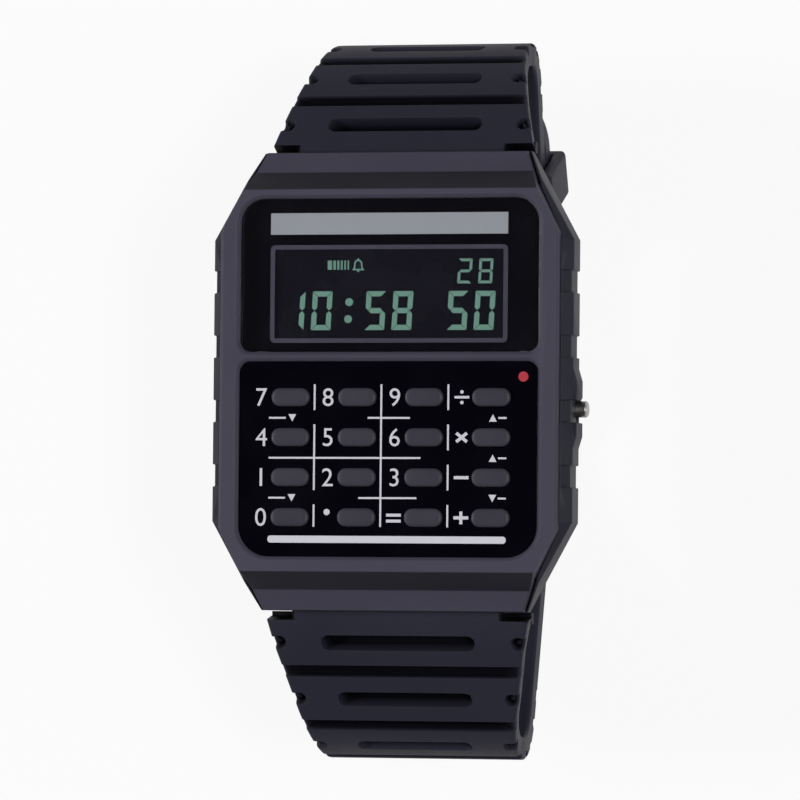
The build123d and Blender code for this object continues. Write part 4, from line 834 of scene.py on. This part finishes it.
divide, times, minus, plus = (keyPlace(3, row) - (look["labelLeft"], 0) for row in range(4))
sign, stroke = look["sign"], look["stroke"]
rise, radius = look["divideDot"]
pale.append(barOutline(*divide, sign, stroke * 0.8))
pale += [discOutline(divide[0], divide[1] + side * rise, radius, 24) for side in (-1, 1)]
crossX = look["crossShare"] * sign
crossY = crossX * 0.8
pale += [strokeOutline(times + (-crossX, -side * crossY), times + (crossX, side * crossY), stroke)
         for side in (1, -1)]
pale += [barOutline(*minus, sign, stroke), barOutline(*plus, sign, stroke), barOutline(*plus, stroke, 0.6)]
shift, rise, radius = look["point"]
pale.append(discOutline(*(keyPlace(1, 3) + (shift - look["labelLeft"], rise)), radius, 32))
shift, drop, rise, half = look["equals"]
equals = keyPlace(2, 3) + (shift - look["labelLeft"], drop)
pale += [barOutline(equals[0], equals[1] + side * rise, sign, half) for side in (-1, 1)]


# A numeral as a mesh of its own, scaled to a height in mm and centred on a place
def numeralMesh(text, centre, high, level, thickness):
    curve = bpy.data.curves.new("numeral", "FONT")
    curve.body = text
    curve.extrude = 0.5
    curve.resolution_u = 6
    holder = newObject("numeral", curve)
    bpy.context.view_layer.update()
    mesh = bpy.data.meshes.new_from_object(holder)
    points = meshPoints(mesh)
    faces = [list(face.vertices) for face in mesh.polygons]
    bpy.data.objects.remove(holder)
    bpy.data.meshes.remove(mesh)
    low, top = points.min(axis=0), points.max(axis=0)
    scale = high / (top[1] - low[1])
    points[:, :2] = (points[:, :2] - (low[:2] + top[:2]) / 2) * scale + centre
    points[:, 2] = level + (points[:, 2] - low[2]) / (top[2] - low[2]) * thickness
    return points, faces


numerals = [
    numeralMesh(text, keyPlace(column, row) - (look["labelLeft"], 0), look["labelHigh"], plateLevel,
                look["ink"])
    for row, texts in enumerate(("789", "456", "123", "0")) for column, text in enumerate(texts)
]
keyPrint = printMesh("keyPlatePrint", pale, plateLevel, look["ink"], materials["keyInkPrintedPale"], numerals)
shift, rise, radius = look["redDot"]
redPlace = keyPlace(1.5, 0) + (shift, rise)
redPrint = printMesh("keyPlateDot", [discOutline(*redPlace, radius)], plateLevel, look["ink"],
                     materials["dotInkPrintedRed"])
print("key plate printed")

# The display's figures, in mm from the middle of its frame. A figure is seven bars: a at the top,
# then clockwise b to f, and g across the middle. The bars' outlines lean to the right.
displayLook = {
    "centre": (-0.25, 8.25), "depth": 1.95, "lean": 0.055, "gap": 0.03, "ink": 0.01,
    # figures, their places across, their height above the middle, and half their width, height and bar
    "rows": [("105850", (-9.28, -6.62, -1.35, 1.29, 6.68, 9.3), -1.59, (0.97, 1.85, 0.25)),
             ("28", (7.36, 9.39), 2.15, (0.68, 1.18, 0.13))],
    "colon": [(-3.93, -0.77), (-4.02, -2.39)], "colonRadius": 0.38,
    # small bars, each with its place across and half its width
    "bars": [(-5.86, 0.21), (-5.39, 0.12), (-5.03, 0.1), (-4.69, 0.09), (-4.36, 0.08), (-4.05, 0.07)],
    "barRise": 2.75, "barHalf": 0.44, "bell": (-3.07, 2.72), "bellRadius": 0.33,
    "bellStroke": 0.07, "bellOverlap": 0.05,
}
figureBars = {"0": "abcdef", "1": "bc", "2": "abged", "5": "afgcd", "8": "abcdefg"}
barEnds = {
    "a": ((-1, 2), (1, 2)), "b": ((1, 2), (1, 0)), "c": ((1, 0), (1, -2)), "d": ((-1, -2), (1, -2)),
    "e": ((-1, 0), (-1, -2)), "f": ((-1, 2), (-1, 0)), "g": ((-1, 0), (1, 0)),
}


# Outlines of a figure's bars. A bar runs between two ends, each a gap short of its corner; two bars
# meet in a mitre at a corner of the figure, and in a point halfway up.
def figureOutlines(text, centreX, centreY, halfWide, halfHigh, halfBar):
    outlines = []
    reach = np.array([halfWide - halfBar, (halfHigh - halfBar) / 2])
    gap = displayLook["gap"]
    for letter in figureBars[text]:
        marks = np.array(barEnds[letter], dtype=float)
        along = (marks[1] - marks[0]) / np.linalg.norm(marks[1] - marks[0])
        outer = np.array([-along[1], along[0]])
        outer = outer if np.dot(outer, marks[0] + marks[1]) >= 0 else -outer
        ring = []
        for mark, way in ((marks[0], -along), (marks[1], along)):
            end = mark * reach - way * gap
            if abs(mark[1]) == 2:
                sides = [end - (way + outer) * halfBar, end + (way + outer) * halfBar]
            else:
                sides = [end - (way + outer) * halfBar, end, end - (way - outer) * halfBar]
            ring += sides if way is not along else sides[::-1]
        ring = np.array(ring)
        ring[:, 0] += ring[:, 1] * displayLook["lean"]
        outlines.append(ring + (centreX, centreY))
    return outlines


look = displayLook
middle = np.array(look["centre"])
lit = []
for texts, places, rise, halves in look["rows"]:
    for text, offset in zip(texts, places):
        lit += figureOutlines(text, middle[0] + offset, middle[1] + rise, *halves)
lit += [discOutline(*(middle + place), look["colonRadius"], 28) for place in look["colon"]]
lit += [barOutline(middle[0] + offset, middle[1] + look["barRise"], half, look["barHalf"])
        for offset, half in look["bars"]]
# The bell: a dome with flared sides and a base, drawn as short strokes, with a knob and a clapper
bell = middle + look["bell"]
domeTurn = np.linspace(math.pi, 0, 9)
radius = look["bellRadius"]
dome = np.column_stack([radius * np.cos(domeTurn), 0.14 + radius * np.sin(domeTurn)])
bellLine = np.concatenate([[(-0.5, -0.4), (-0.36, -0.22)], dome, [(0.36, -0.22), (0.5, -0.4), (-0.5, -0.4)]])
for first, last in zip(bellLine, bellLine[1:]):
    reach = (last - first) / np.linalg.norm(last - first) * look["bellOverlap"]
    lit.append(strokeOutline(bell + first - reach, bell + last + reach, look["bellStroke"]))
lit += [discOutline(*(bell + (0, 0.58)), 0.09, 16), discOutline(*(bell + (0, -0.53)), 0.12, 16)]
figures = printMesh("displayFigures", lit, heightOf(look["depth"]), look["ink"],
                    materials["figuresLiquidCrystal"])
print("display figures made:", len(lit))


# Paper that the camera and mirrors see as plain white, and that still takes the object's shadow
def stageMaterial(name, code, cameraShare):
    material, tree = newMaterial(name)
    ray = addNode(tree, "LightPath").outputs
    diffuse = addNode(tree, "BsdfDiffuse", {"Color": linearColour(code)})
    white = addNode(tree, "Emission", {"Color": (1, 1, 1, 1), "Strength": 1.0})
    seen = addNode(tree, "Math", None, {0: ray["Is Camera Ray"], 1: ray["Is Glossy Ray"]},
                   operation="MAXIMUM")
    share = addNode(tree, "Math", {1: cameraShare}, {0: seen.outputs[0]}, operation="MULTIPLY")
    mixed = addNode(tree, "MixShader", None,
                    {0: share.outputs[0], 1: diffuse.outputs[0], 2: white.outputs[0]})
    addNode(tree, "OutputMaterial", None, {"Surface": mixed.outputs[0]})
    return material


floorLevel = cadLow[2] - 0.1 * mm  # just clear of the buckle's rounded edge
floorReach = 6.0  # metres from the middle to each edge
floorMesh = bpy.data.meshes.new("floor")
floorMesh.from_pydata([(x * floorReach, y * floorReach, floorLevel)
                       for x, y in ((-1, -1), (1, -1), (1, 1), (-1, 1))], [], [(0, 1, 2, 3)])
floorMesh.materials.append(stageMaterial("paperWhite", "#dededf", 0.9))
newObject("floor", floorMesh)

# The photograph looks down on the display, 14 degrees from the 3 o'clock side and 2 from 6 o'clock.
# Its right and up are the pixels that a mm along each axis moves; aim and distance are in mm.
cameraLook = {"aim": (1.281, -1.892, 8.2), "distance": 650.0, "pixelsPerMm": 10.571, "frame": 800,
              "right": (10.256, 0.098, -2.558), "up": (0.0, 10.57, 0.391)}
right = Vector(cameraLook["right"]).normalized()
up = Vector(cameraLook["up"])
up = (up - right * up.dot(right)).normalized()
back = right.cross(up)
camera = bpy.data.cameras.new("camera")
camera.sensor_width = 36.0
camera.lens = cameraLook["pixelsPerMm"] * camera.sensor_width / cameraLook["frame"] * cameraLook["distance"]
camera.clip_start = 0.05
camera.clip_end = 20
cameraObject = newObject("camera", camera)
place = Vector(cameraLook["aim"]) * mm + back * cameraLook["distance"] * mm
turned = Matrix((right, up, back)).transposed()
cameraObject.matrix_world = Matrix.Translation(place) @ turned.to_4x4()
bpy.context.scene.camera = cameraObject


# Soft lamps that face the watch, with their places and sizes in metres and their power in watts. They
# stand clear of what the display mirrors to the camera, so that its print stays black.
for name, place, size, watts in (
    ("keyLeft", (-0.62, 0.03, 0.55), (0.34, 0.22), 4.5),
    ("keyRight", (0.46, -0.02, 0.8), (0.26, 0.18), 4.7),
    ("sideRight", (0.85, -0.08, 0.2), (0.2, 0.5), 1.1),
):
    light = bpy.data.lights.new(name, "AREA")
    light.shape = "RECTANGLE"
    light.size, light.size_y = size
    light.energy = watts
    facing = (-Vector(place)).to_track_quat("-Z", "Y").to_matrix().to_4x4()
    newObject(name, light).matrix_world = Matrix.Translation(place) @ facing

# The room, as the object sees it: mid-grey walls that darken to the ceiling, so that the display
# doesn't mirror white. The camera sees it as plain white.
world = bpy.data.worlds.new("studio")
bpy.context.scene.world = world
world.use_nodes = True
tree = world.node_tree
tree.nodes.clear()
outward = addNode(tree, "TexCoord").outputs["Generated"]
level = addNode(tree, "SeparateXYZ", None, {"Vector": outward}).outputs["Z"]
room = addNode(tree, "MapRange", {"From Min": 0.15, "From Max": 0.8, "To Min": 0.16, "To Max": 0.03},
               {"Value": level})
seen = addNode(tree, "LightPath").outputs["Is Camera Ray"]
strength = addNode(tree, "Mix", {3: 1.0}, {0: seen, 2: room.outputs["Result"]})
background = addNode(tree, "Background", {"Color": (1, 1, 1, 1)}, {"Strength": strength.outputs[0]})
addNode(tree, "OutputWorld", None, {"Surface": background.outputs["Background"]})
bpy.context.scene.view_settings.view_transform = "Standard"


# The CAD nodes that are carried over as they are, by their material
nodeMaterials = {
    "platePolycarbonatePrinted": ["dial_plate", "keypad_panel"],
    "displayGlassLaminated": ["lcd_panel"],
    "frameInkPrinted": ["lcd_frame"],
    "stripInkPrinted": ["header_strip"],
    "windowAcrylicPolished": ["display_window"],
    "domePolyesterStamped": ["dome_sheet"],
    "moduleAcetalMoulded": ["module_frame", "rear_frame"],
    "sealNitrileMoulded": ["connector_strips", "back_gasket", "pusher_seal", "chip"],
    "boardFibreglassLacquered": ["circuit_board"],
    "buttonSteelTurned": ["pusher"],
    "plateSteelBrushed": ["crystal", "battery", "battery_clip", "buzzer_spring", "back_screws",
                          "pusher_spring", "pusher_clip", "spring_bar_12", "spring_bar_6", "buckle_bar"],
    "discBrassRolled": ["buzzer_disc"],
}
for name, nodes in nodeMaterials.items():
    for node in nodes:
        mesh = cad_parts[node].data
        mesh.materials.clear()
        mesh.materials.append(materials[name])

print("scene ready")
